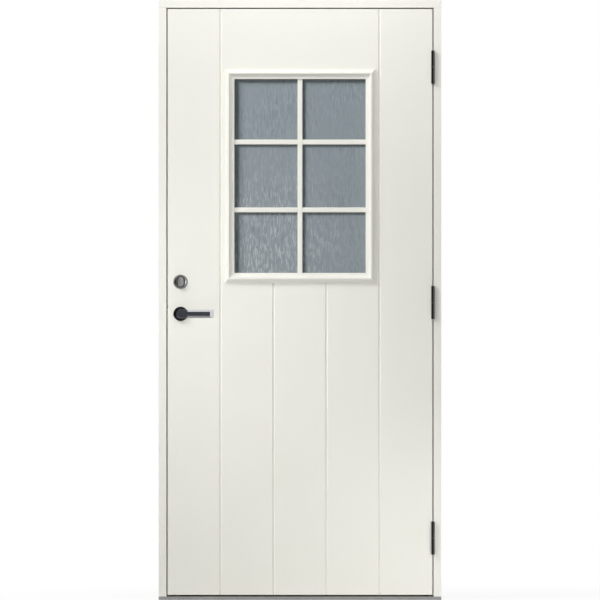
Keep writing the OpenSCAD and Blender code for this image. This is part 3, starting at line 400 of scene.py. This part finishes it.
# Planed pine is straw-coloured, with growth lines up its length.
pine, tree, shader, place = finish_named("planed_pine", {"Roughness": 0.6, "IOR": 1.5})
along = add(tree, "ShaderNodeMapping", None, {"Vector": place, "Scale": (1, 1, 0.03)})
rings = add(tree, "ShaderNodeTexNoise", None,
            {"Vector": along.outputs[0], "Scale": 1000 / 9, "Detail": 4.0, "Distortion": 0.4})
growth = add(tree, "ShaderNodeMix", {"data_type": "RGBA"},
             {0: rings.outputs["Fac"], 6: linear("C79A62"), 7: linear("E8CC9C")})
fibre = add(tree, "ShaderNodeBump", None,
            {"Height": rings.outputs["Fac"], "Strength": 0.3, "Distance": 0.0006})
tree.links.new(growth.outputs[2], shader.inputs["Base Color"])
tree.links.new(fibre.outputs[0], shader.inputs["Normal"])

# Expanded foam shows its pressed beads, 5 mm across, as a cobbled cream surface.
foam, tree, shader, place = finish_named("expanded_foam_board", {"Roughness": 0.8})
beads = add(tree, "ShaderNodeTexVoronoi", None, {"Vector": place, "Scale": 1000 / 5})
tint = add(tree, "ShaderNodeMix", {"data_type": "RGBA"},
           {0: beads.outputs["Distance"], 6: linear("F1EFE2"), 7: linear("D8D4BE")})
cells = add(tree, "ShaderNodeBump", {"invert": True},
            {"Height": beads.outputs["Distance"], "Strength": 0.5, "Distance": 0.001})
tree.links.new(tint.outputs[2], shader.inputs["Base Color"])
tree.links.new(cells.outputs[0], shader.inputs["Normal"])

for stile in ("lock_stile", "hinge_stile"):
    eased(stile, 0.0004, upright_paint, "white_paint")
for rail in ("top_rail", "bottom_rail"):
    eased(rail, 0.0004, level_paint, "white_paint")
eased("window_studs", 0.0008, pine, "pine")
eased("window_rails", 0.0008, pine, "pine")
eased("insulation_boards", 0.001, foam, "insulation")


# Skins. Moisture-proof fibreboard, cut with V grooves that mark out five boards, glued to both
# faces of the core, and sprayed with the same satin paint as the frame.

# On fibreboard the same paint shows hardly any grain: only its cloudy sheen and orange peel.
board_paint = satin_paint("satin_paint_on_fibreboard", (1, 1, 0.3), 0.0001)
for skin in ("outer_skin", "inner_skin"):
    eased(skin, 0.0007, board_paint, "white_paint")


# Sealed glass unit. Two sheets of float glass behind one of rolled glass, whose bark-like relief blurs
# what is behind it, on aluminium spacers. Rubber gaskets and plastic blocks hold it in the leaf.

# Rolled glass is cast with a bark-like relief: patches of short upright ripples, and raised flecks whose
# paler colour is a painted highlight, thickest at the lower left. Ripples of 2 mm are drawn at 4.
obscure, tree, shader, place = finish_named("rolled_obscure_glass", {"Roughness": 0.32, "IOR": 1.52,
                                                                    "Transmission Weight": 0.03,
                                                                    "Specular IOR Level": 0.3})
ripple_mm, fleck_mm, patch_mm = 4.0, 4.0, 110.0
fleck_middle, fleck_core, fleck_reach = (-0.13, -0.042, 1.22), 0.15, 0.40
upright = add(tree, "ShaderNodeMapping", None, {"Vector": place, "Scale": (1, 1, 0.14)})
ripples = add(tree, "ShaderNodeTexNoise", None,
              {"Vector": upright.outputs[0], "Scale": 1000 / ripple_mm, "Detail": 2.0, "Distortion": 0.8})
patches = add(tree, "ShaderNodeTexNoise", None, {"Vector": place, "Scale": 1000 / patch_mm, "Detail": 1.0})
depth = add(tree, "ShaderNodeMapRange", None,
            {"Value": patches.outputs["Fac"], "From Min": 0.4, "From Max": 0.65,
             "To Min": 0.25, "To Max": 1.1})
swing = add(tree, "ShaderNodeMath", {"operation": "SUBTRACT"}, {0: ripples.outputs["Fac"], 1: 0.5})
streak = add(tree, "ShaderNodeMath", {"operation": "MULTIPLY_ADD"},
             {0: swing.outputs[0], 1: depth.outputs[0], 2: 0.5})
short = add(tree, "ShaderNodeMapping", None, {"Vector": place, "Scale": (1, 1, 0.17)})
flecks = add(tree, "ShaderNodeTexNoise", None,
             {"Vector": short.outputs[0], "Scale": 1000 / fleck_mm, "Detail": 2.0, "Distortion": 0.6})
from_middle = add(tree, "ShaderNodeVectorMath", {"operation": "DISTANCE"}, {0: place, 1: fleck_middle})
ragged = add(tree, "ShaderNodeMath", {"operation": "MULTIPLY_ADD"},
             {0: patches.outputs["Fac"], 1: 0.3, 2: from_middle.outputs["Value"]})
thick = add(tree, "ShaderNodeMapRange", {"interpolation_type": "SMOOTHSTEP"},
            {"Value": ragged.outputs[0], "From Min": fleck_core, "From Max": fleck_core + fleck_reach,
             "To Min": 1.0, "To Max": 0.04})
crest = add(tree, "ShaderNodeMapRange", None,
            {"Value": flecks.outputs["Fac"], "From Min": 0.48, "From Max": 0.7})
painted_glint = add(tree, "ShaderNodeMath", {"operation": "MULTIPLY"}, {0: crest.outputs[0], 1: thick.outputs[0]})
body = add(tree, "ShaderNodeMix", {"data_type": "RGBA"},
           {0: streak.outputs[0], 6: linear("646E74"), 7: linear("9BA4A9")})
# The flecks are mixed to a paler colour as a painted highlight; their bump below is the real relief.
tint = add(tree, "ShaderNodeMix", {"data_type": "RGBA"},
           {0: painted_glint.outputs[0], 6: body.outputs[2], 7: linear("B0B4B6")})
relief = add(tree, "ShaderNodeMath", {"operation": "MULTIPLY_ADD"},
             {0: painted_glint.outputs[0], 1: 1.5, 2: streak.outputs[0]})
ripple_bump = add(tree, "ShaderNodeBump", None,
                  {"Height": relief.outputs[0], "Strength": 0.25, "Distance": 0.001})
tree.links.new(tint.outputs[2], shader.inputs["Base Color"])
tree.links.new(ripple_bump.outputs[0], shader.inputs["Normal"])

# Float glass is clear and faintly green, with a slow wave that bends what it mirrors.
clear, tree, shader, place = finish_named("float_glass", {"Base Color": linear("F3F7F6"), "Roughness": 0.0,
                                                          "IOR": 1.52, "Transmission Weight": 1.0})
wave = add(tree, "ShaderNodeTexNoise", None, {"Vector": place, "Scale": 1000 / 180})
roll = add(tree, "ShaderNodeBump", None,
           {"Height": wave.outputs["Fac"], "Strength": 0.05, "Distance": 0.002})
tree.links.new(roll.outputs[0], shader.inputs["Normal"])

# Hard plastic blocks are charcoal with flow marks; the spacer bars between the sheets are rolled silver.
plastic, tree, shader, place = finish_named("moulded_hard_plastic", {"Roughness": 0.45, "IOR": 1.5})
mould = add(tree, "ShaderNodeTexNoise", None, {"Vector": place, "Scale": 1000 / 3, "Detail": 3.0})
tint = add(tree, "ShaderNodeMix", {"data_type": "RGBA"},
           {0: mould.outputs["Fac"], 6: linear("232425"), 7: linear("38393B")})
tree.links.new(tint.outputs[2], shader.inputs["Base Color"])

spacer_metal = drawn_metal("rolled_spacer_aluminium", "B9BABC", "CACBCC", 0.35, (1, 1, 1), 2, 0.0002)
outer_pane = eased("outer_pane", 0.0005, obscure, "obscure_glass")
for sheet in ("middle_pane", "inner_pane"):
    eased(sheet, 0.0005, clear, "clear_glass")
eased("glass_spacers", 0.0005, spacer_metal, "aluminium")
eased("glazing_gaskets", 0.0003, rubber, "rubber")
eased("glazing_blocks", 0.0005, plastic, "hard_plastic")


# Mouldings round the glass. Pine run to an ogee on a spindle moulder, mitred at the corners, pinned
# and painted: four lengths outside and four inside, each with a leg that presses on the gasket.

moulding_w, lip_h, leg_w = 0.035, 0.003, 0.015
ridge_h = leaf_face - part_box("outer_moulding_top")[0].y
sight_x, sight_hz, window_z = 0.2275, 0.336, 1.470
leg_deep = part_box("outer_moulding_top")[1].y - leaf_face


def ogee():
    """Section as height above the skin and distance in from the outer edge."""
    corner, foot = 0.0004, ridge_h / 4
    hollow_h = lip_h + corner
    rise_from, rise_run, rise_steps = 0.0012, 0.0128, 12
    fall_from, fall_run, fall_steps, fall_curve = 0.0165, 0.0125, 10, 1.7
    points = [(0, 0), (foot - corner, 0), (foot, corner)]
    for i in range(rise_steps + 1):
        climb = 0.5 - 0.5 * cos(pi * i / rise_steps)
        points.append((foot + (ridge_h - foot) * climb, rise_from + rise_run * i / rise_steps))
    for i in range(fall_steps + 1):
        height_left = (1 - i / fall_steps) ** fall_curve
        points.append((hollow_h + (ridge_h - hollow_h) * height_left, fall_from + fall_run * i / fall_steps))
    points += [(lip_h + 0.0003, 0.0320), (lip_h, 0.0345), (lip_h - 0.0006, moulding_w)]
    points += [(-leg_deep, moulding_w), (-leg_deep, moulding_w - leg_w), (0, moulding_w - leg_w)]
    return [(h, inward, 0) for h, inward in points]


tree, given, sockets = node_tree("mitred_length", "Half run", "Reach", "Face", "Window", "Turn", "Side")
start = add(tree, "ShaderNodeMath", {"operation": "MULTIPLY"}, {0: given.outputs["Half run"], 1: -1.0})
run_from = add(tree, "ShaderNodeCombineXYZ", None, {"X": start.outputs[0]})
run_to = add(tree, "ShaderNodeCombineXYZ", None, {"X": given.outputs["Half run"]})
path = add(tree, "GeometryNodeCurvePrimitiveLine", None,
           {"Start": run_from.outputs[0], "End": run_to.outputs[0]})
section = add(tree, "GeometryNodeMeshToCurve", None, {"Mesh": given.outputs["Geometry"]})
run = add(tree, "GeometryNodeCurveToMesh", None,
          {"Curve": path.outputs[0], "Profile Curve": section.outputs[0], "Fill Caps": True})
spot = add(tree, "ShaderNodeSeparateXYZ", None, {0: add(tree, "GeometryNodeInputPosition").outputs[0]})
inner_half = add(tree, "ShaderNodeMath", {"operation": "ADD"},
                 {0: given.outputs["Half run"], 1: spot.outputs["Z"]})
share = add(tree, "ShaderNodeMath", {"operation": "DIVIDE"},
            {0: inner_half.outputs[0], 1: given.outputs["Half run"]})
mitre_x = add(tree, "ShaderNodeMath", {"operation": "MULTIPLY"},
              {0: spot.outputs["X"], 1: share.outputs[0]})
side_y = add(tree, "ShaderNodeMath", {"operation": "MULTIPLY"},
             {0: spot.outputs["Y"], 1: given.outputs["Side"]})
up_z = add(tree, "ShaderNodeMath", {"operation": "ADD"},
           {0: spot.outputs["Z"], 1: given.outputs["Reach"]})
cut_place = add(tree, "ShaderNodeCombineXYZ", None,
                {"X": mitre_x.outputs[0], "Y": side_y.outputs[0], "Z": up_z.outputs[0]})
mitred = add(tree, "GeometryNodeSetPosition", None,
             {"Geometry": run.outputs[0], "Position": cut_place.outputs[0]})
turned_by = add(tree, "ShaderNodeCombineXYZ", None, {"Y": given.outputs["Turn"]})
set_at = add(tree, "ShaderNodeCombineXYZ", None,
             {"Y": given.outputs["Face"], "Z": given.outputs["Window"]})
placed = add(tree, "GeometryNodeTransform", None,
             {"Geometry": mitred.outputs[0], "Translation": set_at.outputs[0],
              "Rotation": turned_by.outputs[0]})
close_tree(tree, placed.outputs[0], level_paint)
moulding_tree, moulding_sockets = tree, sockets
mould_x, mould_hz, mitre_gap = sight_x + moulding_w, sight_hz + moulding_w, 0.00005


def moulding(turn, face, side):
    """One mitred length, turned to its side of the window, on the outer or the inner face."""
    level = turn in (0, pi)
    return grown(outline(ogee()), moulding_tree, moulding_sockets, {
        "Half run": (mould_x if level else mould_hz) - mitre_gap,
        "Reach": mould_hz if level else mould_x,
        "Face": face, "Window": window_z, "Turn": turn, "Side": side,
    })


inner_face = 0.0095
for name, turn, paint in (("top", 0.0, level_paint), ("hinge_side", pi / 2, upright_paint),
                          ("bottom", pi, level_paint), ("lock_side", -pi / 2, upright_paint)):
    piece_from("outer_ogee_" + name, moulding(turn, leaf_face, 1.0), paint, "leaf", "white_paint",
               "outer_moulding_" + name)
inside = bmesh.new()
for turn in (0.0, pi / 2, pi, -pi / 2):
    inside.from_mesh(moulding(turn, inner_face, -1.0))
inner_mesh = bpy.data.meshes.new("inner_ogees")
inside.to_mesh(inner_mesh)
inside.free()
piece_from("inner_ogees", inner_mesh, level_paint, "leaf", "white_paint", "inner_mouldings")


# Glazing bars. Pine bars half-lapped where they cross, so that both faces lie flush, pinned between
# the mouldings over the glass, outside and inside, and painted with them.

for bar in ("outer_upright_bar", "inner_upright_bar"):
    eased(bar, 0.0009, upright_paint, "white_paint")
for bar in ("outer_level_bars", "inner_level_bars"):
    eased(bar, 0.0009, level_paint, "white_paint")


# Hinges, leaf halves, and the leaf's screws. Upper knuckles of the same burnished steel, which lift off
# the pins; zinc-plated screws hold them, and the faceplate of the lock, to the edges of the leaf.

for half in ("leaf_hinge_top", "leaf_hinge_middle", "leaf_hinge_bottom"):
    eased(half, 0.0005, hinge_steel, "hinge_steel")
edge_screws = [((leaf_x, y, z + dz), (-1, 0, 0)) for z in hinge_heights for dz, y in hinge_spots]
faceplate_screw_heights = (0.928, 1.172)
edge_screws += [((-leaf_x, leaf_middle, z), (1, 0, 0)) for z in faceplate_screw_heights]
piece_from("edge_screws", screw_set(edge_screws), zinc, "leaf", "zinc_steel", "leaf_screws")


# Mortise lock. A pressed steel box let into the stile behind a polished faceplate, with a brass hub
# that draws the latch and a brass cam that throws the dead bolt.

# Polished steel mirrors the room with faint waves; machined brass shows its tool lines, yellow and dull.
bright = drawn_metal("polished_stainless_steel", "CFD0D1", "D8D8D7", 0.1, (1, 1, 1), 4, 0.00008)
brass = drawn_metal("machined_brass", "B08A45", "C7A362", 0.28, (1, 0.2, 1), 1.5, 0.0002)
eased("lock_box", 0.0003, zinc, "zinc_steel")
eased("lock_cover", 0.0003, zinc, "zinc_steel")
eased("lock_faceplate", 0.0003, bright, "zinc_steel")
eased("latch_bolt", 0.0005, bright, "polished_steel")
eased("dead_bolt", 0.0005, bright, "polished_steel")
eased("hub", 0.0003, brass, "brass")
eased("bolt_cam", 0.0003, brass, "brass")
eased("spindle", 0.0004, zinc, "zinc_steel")
eased("rose_bolts", 0.0003, zinc, "zinc_steel")


# Levers and their roses. Cast zinc, polished and plated: straight levers in chrome, each with a
# bevelled front and a round end over its neck, and turned roses in black chrome, flat on the skin.

# Black chrome is a dark mirror. Chrome takes its tones from the room, so the flat front of a lever is
# slate from the dark card before it, and its bevels and tip are pale from the white surround.
black_chrome = drawn_metal("black_chrome_plate", "55565A", "5E5F62", 0.1, (1, 1, 1), 6, 0.00006)
chrome = drawn_metal("polished_chrome_plate", "CCCED1", "D5D6D8", 0.12, (0.05, 1, 1), 1.2, 0.0001)
outer_lever = eased("outer_lever", 0.0008, chrome, "dark_chrome", 3)
eased("inner_lever", 0.0008, chrome, "dark_chrome", 3)

hub_x, hub_z, turn_z, oval_z = -0.414, 0.992, 1.097, 1.103
rose_r, rose_t, neck_r = 0.025, 0.009, 0.01008
loop_count = 96
even_turns = [tau * i / loop_count for i in range(loop_count)]


def ring_loop(x, z, r, y):
    """Points round a circle that faces along Y."""
    return [(x + r * cos(a), y, z + r * sin(a)) for a in even_turns]


def oval_loop(x, z, w, h, y):
    """Points round an upright oval of two half circles and straight sides, at even angles."""
    points = []
    lift = (h - w) / 2
    for a in even_turns:
        across, up = cos(a), sin(a)
        if abs(up) * w / 2 <= lift * abs(across):
            reach = w / 2 / max(abs(across), 1e-9)
        else:
            reach = lift * abs(up) + ((w / 2) ** 2 - (lift * across) ** 2) ** 0.5
        points.append((x + reach * across, y, z + reach * up))
    return points


def skinned(name, loops, first_cap=True, last_cap=True):
    """A mesh skinned over loops of equal count; without end caps its last loop is joined to its first."""
    mesh = bpy.data.meshes.new(name)
    count = len(loops[0])
    points = [p for loop in loops for p in loop]
    faces = []
    pairs = [(i, i + 1) for i in range(len(loops) - 1)]
    if not first_cap and not last_cap:
        pairs.append((len(loops) - 1, 0))
    for a, b in pairs:
        for i in range(count):
            j = (i + 1) % count
            faces.append((a * count + i, a * count + j, b * count + j, b * count + i))
    if first_cap:
        faces.append(tuple(range(count)))
    if last_cap:
        faces.append(tuple(range((len(loops) - 1) * count, len(loops) * count)))
    mesh.from_pydata(points, [], faces)
    solid = bmesh.new()
    solid.from_mesh(mesh)
    bmesh.ops.remove_doubles(solid, verts=solid.verts, dist=1e-7)
    bmesh.ops.recalc_face_normals(solid, faces=solid.faces)
    solid.to_mesh(mesh)
    solid.free()
    mesh.shade_smooth()
    mesh.set_sharp_from_angle(angle=radians(35))
    return mesh


def rose_loops(face, out, z, bore, bore_z, bore_ease):
    """A flat rose with a rolled edge round a bore; out is -1 outside and 1 inside."""
    foot_ease, roll_r, roll_steps, bore_lip = 0.0004, 0.002, 10, 0.0005
    edge = [(rose_r - foot_ease, 0.0), (rose_r, foot_ease), (rose_r, rose_t - roll_r)]
    for i in range(1, roll_steps + 1):
        a = pi / 2 * i / roll_steps
        edge.append((rose_r - roll_r * (1 - cos(a)), rose_t - roll_r * (1 - sin(a))))
    mouth = [(bore + bore_ease, rose_t), (bore, rose_t - bore_lip)]
    loops = [ring_loop(hub_x, bore_z, bore, face)]
    loops += [ring_loop(hub_x, z, r, face + out * h) for r, h in edge]
    return loops + [ring_loop(hub_x, bore_z, r, face + out * h) for r, h in mouth]


neck_hole_ease = 0.0008
for name, face, out in (("outer_rose", leaf_face, -1), ("inner_rose", inner_face, 1)):
    mesh = skinned(name, rose_loops(face, out, hub_z, neck_r, hub_z, neck_hole_ease), False, False)
    piece_from(name + "_turned", mesh, black_chrome, "leaf", "dark_chrome", name)


# Cylinder. A forged guard ring, drawn up from a round foot to an oval collar and polished, round an
# oval cylinder of nickel-plated brass with a key plug that turns in it.

ring_r, ring_side, collar_w, collar_h = 0.025, 0.002, 0.031, 0.042
recess_w, recess_h, recess_deep = 0.027, 0.038, 0.005
oval_w, oval_h, oval_fit = 0.021, 0.033, 0.0001
ring_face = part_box("cylinder_ring")[0].y
# Rolled edges: the foot as radius and height above the skin, the others as distance out from the
# oval and depth below the ring's face.
foot_edge = ((ring_r - 0.0004, 0), (ring_r, 0.0004), (ring_r, ring_side - 0.0005),
             (ring_r - 0.0004, ring_side + 0.0002))
collar_edge = ((0.0004, 0.0005), (0.0001, 0.0002), (-0.0005, 0))
recess_edge = ((0.0005, 0), (0.0001, 0.0002), (0, 0.0008), (-0.0003, recess_deep))
loops = [oval_loop(hub_x, oval_z, oval_w + oval_fit, oval_h + oval_fit, leaf_face)]
loops += [ring_loop(hub_x, oval_z, r, leaf_face - h) for r, h in foot_edge]
loops += [oval_loop(hub_x, oval_z, collar_w + 2 * d, collar_h + 2 * d, ring_face + h)
          for d, h in collar_edge]
loops += [oval_loop(hub_x, oval_z, recess_w + 2 * d, recess_h + 2 * d, ring_face + h)
          for d, h in recess_edge]
loops += [oval_loop(hub_x, oval_z, oval_w + oval_fit, oval_h + oval_fit, ring_face + recess_deep)]
# A grey chrome: each flank of the ring mirrors another side of the room, one dark and one bright.
guard = drawn_metal("grey_chrome_plate", "808184", "8C8D90", 0.12, (1, 1, 1), 4, 0.0001)
piece_from("guard_ring", skinned("guard_ring", loops, False, False), guard, "leaf", "polished_steel",
           "cylinder_ring")

# Satin nickel is a soft warm grey, with 9 mm blotches painted dark and near white: painted reflections.
nickel = drawn_metal("satin_nickel_plate", "686764", "FBF9F5", 0.45, (1, 1, 1), 7, 0.0002, 9)
plug_r, plug_fit, lock_side_y = 0.0065, 0.00008, -0.0295
cylinder_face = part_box("cylinder_body")[0].y
end_wall, ease, side_ease = 0.0035, 0.0003, 0.0010
plug_end, bore_r = lock_side_y - end_wall, plug_r + plug_fit
body_loops = [ring_loop(hub_x, turn_z, bore_r, y) for y in (plug_end + ease, cylinder_face + ease)]
body_loops += [ring_loop(hub_x, turn_z, bore_r + ease, cylinder_face)]
body_edge = ((side_ease, cylinder_face), (ease, cylinder_face + ease),
             (0, cylinder_face + side_ease), (0, lock_side_y))
body_loops += [oval_loop(hub_x, oval_z, oval_w - 2 * d, oval_h - 2 * d, y) for d, y in body_edge]
piece_from("oval_cylinder", skinned("oval_cylinder", body_loops), nickel, "leaf", "polished_steel",
           "cylinder_body")

keyway_w, keyway_h, keyway_deep = 0.0024, 0.009, 0.012
plug_proud = 0.0004
plug_face = cylinder_face - plug_proud
plug_edge = ((plug_r, plug_end), (plug_r, plug_face + plug_proud), (plug_r - plug_proud, plug_face))
plug_loops = [ring_loop(hub_x, turn_z, r, y) for r, y in plug_edge]
plug_loops += [oval_loop(hub_x, turn_z, keyway_w, keyway_h, y)
               for y in (plug_face, plug_face + keyway_deep)]
piece_from("key_plug_turned", skinned("key_plug_turned", plug_loops), nickel, "key_plug", "brass",
           "cylinder_plug")


# Thumb turn. A cast oval grip on a round collar, with its square tail in the cam, and a rose like
# the lever's; both polished.

turn_face, grip_w, grip_h = inner_face + rose_t, 0.011, 0.036
collar_r, neck, neck_fit, neck_y = 0.009, 0.005, 0.00008, -0.0130
tail, tail_y = 0.005, -0.028


def square_loop(x, z, side, y):
    """Points round a square, at the even angles of the round loops; past_corner fills its corners."""
    past_corner = 1.42
    points = []
    for a in even_turns:
        across, up = [min(1, max(-1, past_corner * way(a))) for way in (cos, sin)]
        points.append((x + side / 2 * across, y, z + side / 2 * up))
    return points


# The collar as radius and height above the rose, and the grip as distance in from its widest and height.
stem_edge = ((neck, 0.0003), (collar_r - 0.0005, 0.0003), (collar_r, 0.0008), (collar_r, 0.0034),
             (collar_r - 0.0010, 0.0042))
grip_edge = ((0.0012, 0.0042), (0.0002, 0.0050), (0.0, 0.0062), (0.0006, 0.0120), (0.0010, 0.0200),
             (0.0016, 0.0226), (0.0030, 0.0237), (0.0044, 0.0240))
turn_loops = [square_loop(hub_x, turn_z, tail, y) for y in (tail_y, neck_y)]
turn_loops += [ring_loop(hub_x, turn_z, neck, neck_y)]
turn_loops += [ring_loop(hub_x, turn_z, r, turn_face + h) for r, h in stem_edge]
turn_loops += [oval_loop(hub_x, turn_z, grip_w - 2 * d, grip_h - 2 * d, turn_face + h)
               for d, h in grip_edge]
piece_from("thumb_turn_cast", skinned("thumb_turn_cast", turn_loops), bright, "thumb_turn",
           "polished_steel", "thumb_turn")
# The neck comes through this rose a little below its middle.
turn_rose = rose_loops(inner_face, 1, oval_z, neck + neck_fit, turn_z, 0.0)
piece_from("turn_rose_turned", skinned("turn_rose_turned", turn_rose, False, False), bright, "leaf",
           "polished_steel", "turn_rose")


# Studio. A pale floor and a white surround, with soft lamps: a raking one high on the left, small
# ones that even out the paint, and one for the room side. Cards that are seen only in reflections.

scene = bpy.context.scene
scene.view_settings.view_transform = "Standard"


def seen_directly(tree):
    """One for rays from the camera, a mirror or glass; nothing for light that bounces about."""
    rays = add(tree, "ShaderNodeLightPath")
    mirrored = add(tree, "ShaderNodeMath", {"operation": "MAXIMUM"},
                   {0: rays.outputs["Is Camera Ray"], 1: rays.outputs["Is Glossy Ray"]})
    return add(tree, "ShaderNodeMath", {"operation": "MAXIMUM"},
               {0: mirrored.outputs[0], 1: rays.outputs["Is Transmission Ray"]}).outputs[0]


# Painted board, matt and pale. It is mostly self-lit to the eye: near the door it keeps a soft shadow,
# and from 0.7 m out it fades into the white surround.
floor_paint, tree, shader, place = finish_named("pale_floor", {"Base Color": linear("F2F2F0"),
                                                              "Roughness": 0.9})
self_lit = 0.9
apart = add(tree, "ShaderNodeVectorMath", {"operation": "LENGTH"}, {0: place})
fade = add(tree, "ShaderNodeMapRange", None,
           {"Value": apart.outputs["Value"], "From Min": 0.7, "From Max": 2.2,
            "To Min": 1.02, "To Max": 1.1})
white = add(tree, "ShaderNodeEmission", None, {"Strength": fade.outputs[0]})
much = add(tree, "ShaderNodeMath", {"operation": "MULTIPLY"}, {0: seen_directly(tree), 1: self_lit})
mixed = add(tree, "ShaderNodeMixShader", None,
            {0: much.outputs[0], 1: shader.outputs[0], 2: white.outputs[0]})
tree.links.new(mixed.outputs[0], tree.nodes["Material Output"].inputs["Surface"])
floor_mesh = bpy.data.meshes.new("floor")
floor_mesh.from_pydata([(-6, -8, 0), (6, -8, 0), (6, 6, 0), (-6, 6, 0)], [], [(0, 1, 2, 3)])
floor_mesh.materials.append(floor_paint)
floor = bpy.data.objects.new("floor", floor_mesh)
scene.collection.objects.link(floor)

walls = {side: [(x, side * y, z) for z in (0.0, 4.5)
                for x, y in ((-2.6, -0.8), (-2.6, 4.2), (-1.6, 6.6), (0.9, 6.9))] for side in (-1, 1)}
floor_card = [(-2.0, -0.11, 0.01), (1.0, -0.11, 0.01), (1.0, -1.6, 0.01), (-2.0, -1.6, 0.01)]
wall_faces = [(i, i + 1, i + 5, i + 4) for i in range(3)]
for name, tone, corners, faces in (
        ("dark_card_outside", "52565D", walls[-1], wall_faces),
        ("dark_card_inside", "52565D", walls[1], wall_faces),
        ("grey_card", "B4B4B4", floor_card, [(0, 1, 2, 3)])):
    card_paint = finish_named(name, {"Base Color": linear(tone), "Roughness": 0.9})[0]
    card_mesh = bpy.data.meshes.new(name)
    card_mesh.from_pydata(corners, [], faces)
    card_mesh.materials.append(card_paint)
    card = bpy.data.objects.new(name, card_mesh)
    scene.collection.objects.link(card)
    for sight in ("visible_camera", "visible_diffuse", "visible_shadow", "visible_transmission"):
        setattr(card, sight, False)

world = bpy.data.worlds.new("white_surround")
scene.world = world
world.use_nodes = True
tree = world.node_tree
level = add(tree, "ShaderNodeMapRange", None,
            {"Value": seen_directly(tree), "To Min": 0.1, "To Max": 1.0})
tree.links.new(level.outputs[0], tree.nodes["Background"].inputs["Strength"])
tree.nodes["Background"].inputs["Color"].default_value = (1, 1, 1, 1)


def held_off(name, piece):
    """A collection that leaves a piece out of a lamp's light, or out of what throws its shadows."""
    flag = bpy.data.collections.new(name)
    flag.objects.link(piece)
    flag.collection_objects[0].light_linking.link_state = "EXCLUDE"
    return flag


# No lamp throws the lever's shadow, which would fall far from it on the leaf.
flagged = held_off("flagged_from_lamps", outer_lever)


def hang(name, place, aim, width, height, watts, spread):
    """A soft lamp at a place, turned to its aim, with its beam held to a spread in degrees."""
    lamp = bpy.data.lights.new(name, "AREA")
    lamp.shape, lamp.size, lamp.size_y = "RECTANGLE", width, height
    lamp.energy, lamp.spread = watts, radians(spread)
    hung = bpy.data.objects.new(name, lamp)
    hung.location = place
    hung.rotation_euler = (Vector(aim) - Vector(place)).to_track_quat("-Z", "Y").to_euler()
    hung.light_linking.blocker_collection = flagged
    hung.visible_glossy = False
    scene.collection.objects.link(hung)
    return hung


# The glass has two lamps of its own, one of them raking, and four of the others are held off it, so that
# the mouldings throw deep shadows on it.
off_glass = held_off("off_glass", outer_pane)
off_floor = held_off("off_floor", floor)
on_glass = bpy.data.collections.new("on_glass")
on_glass.objects.link(outer_pane)
for name, place, aim, size, watts, spread, flag in (
        ("raking_lamp", (-4.3, -2.8, 5.0), (0, 0, 1.0), 2.0, 250, 180, None),
        ("pool_lamp", (-1.6, -2.6, 1.6), (-0.25, 0, 0.95), 0.6, 0.68, 34, off_glass),
        ("top_lamp", (0.4, -1.3, 3.1), (0.2, 0, 2.0), 0.8, 7.0, 180, off_glass),
        ("head_lamp", (0.0, -0.45, 2.5), (0, 0, 2.06), 0.9, 1.8, 180, off_glass),
        ("low_fill", (1.5, -1.7, 0.25), (0.45, 0, 0.15), 0.8, 0.5, 45, None),
        ("foot_fill", (1.0, -0.8, 0.25), (0.42, 0, 0.15), 0.5, 0.24, 60, None),
        ("front_fill", (0.0, -6.0, 1.6), (0, 0, 1.05), 4.0, 70, 180, off_glass),
        ("room_lamp", (2.4, 4.2, 3.4), (0, 0, 1.0), 2.6, 235, 180, off_floor),
        ("glass_lamp", (-4.3, -2.8, 5.0), (0, 0, 1.0), 2.0, 475, 180, on_glass),
        ("room_glass_lamp", (2.4, 4.2, 3.4), (0, 0, 1.0), 2.6, 420, 180, on_glass)):
    lamp = hang(name, place, aim, size, size, watts, spread)
    if flag:
        lamp.light_linking.receiver_collection = flag

# A tall strip light on the right, for reflections alone, and not for those in the outer lever.
strip = hang("strip_light", (2.0, -0.35, 1.15), (0, -0.35, 1.15), 0.6, 2.4, 13.0, 180)
strip.light_linking.receiver_collection = held_off("off_lever", outer_lever)
strip.visible_diffuse, strip.visible_glossy = False, True

# The photograph is a level view, square to the outer face, with the frame filling its height.
frame_h, lens, sensor = 2.080, 500.0, 36.0
eye = bpy.data.cameras.new("level_front")
eye.lens, eye.sensor_width = lens, sensor
camera = bpy.data.objects.new("level_front", eye)
camera.location = (0, leaf_face - frame_h * lens / sensor, frame_h / 2)
camera.rotation_euler = (pi / 2, 0, 0)
scene.collection.objects.link(camera)
scene.camera = camera
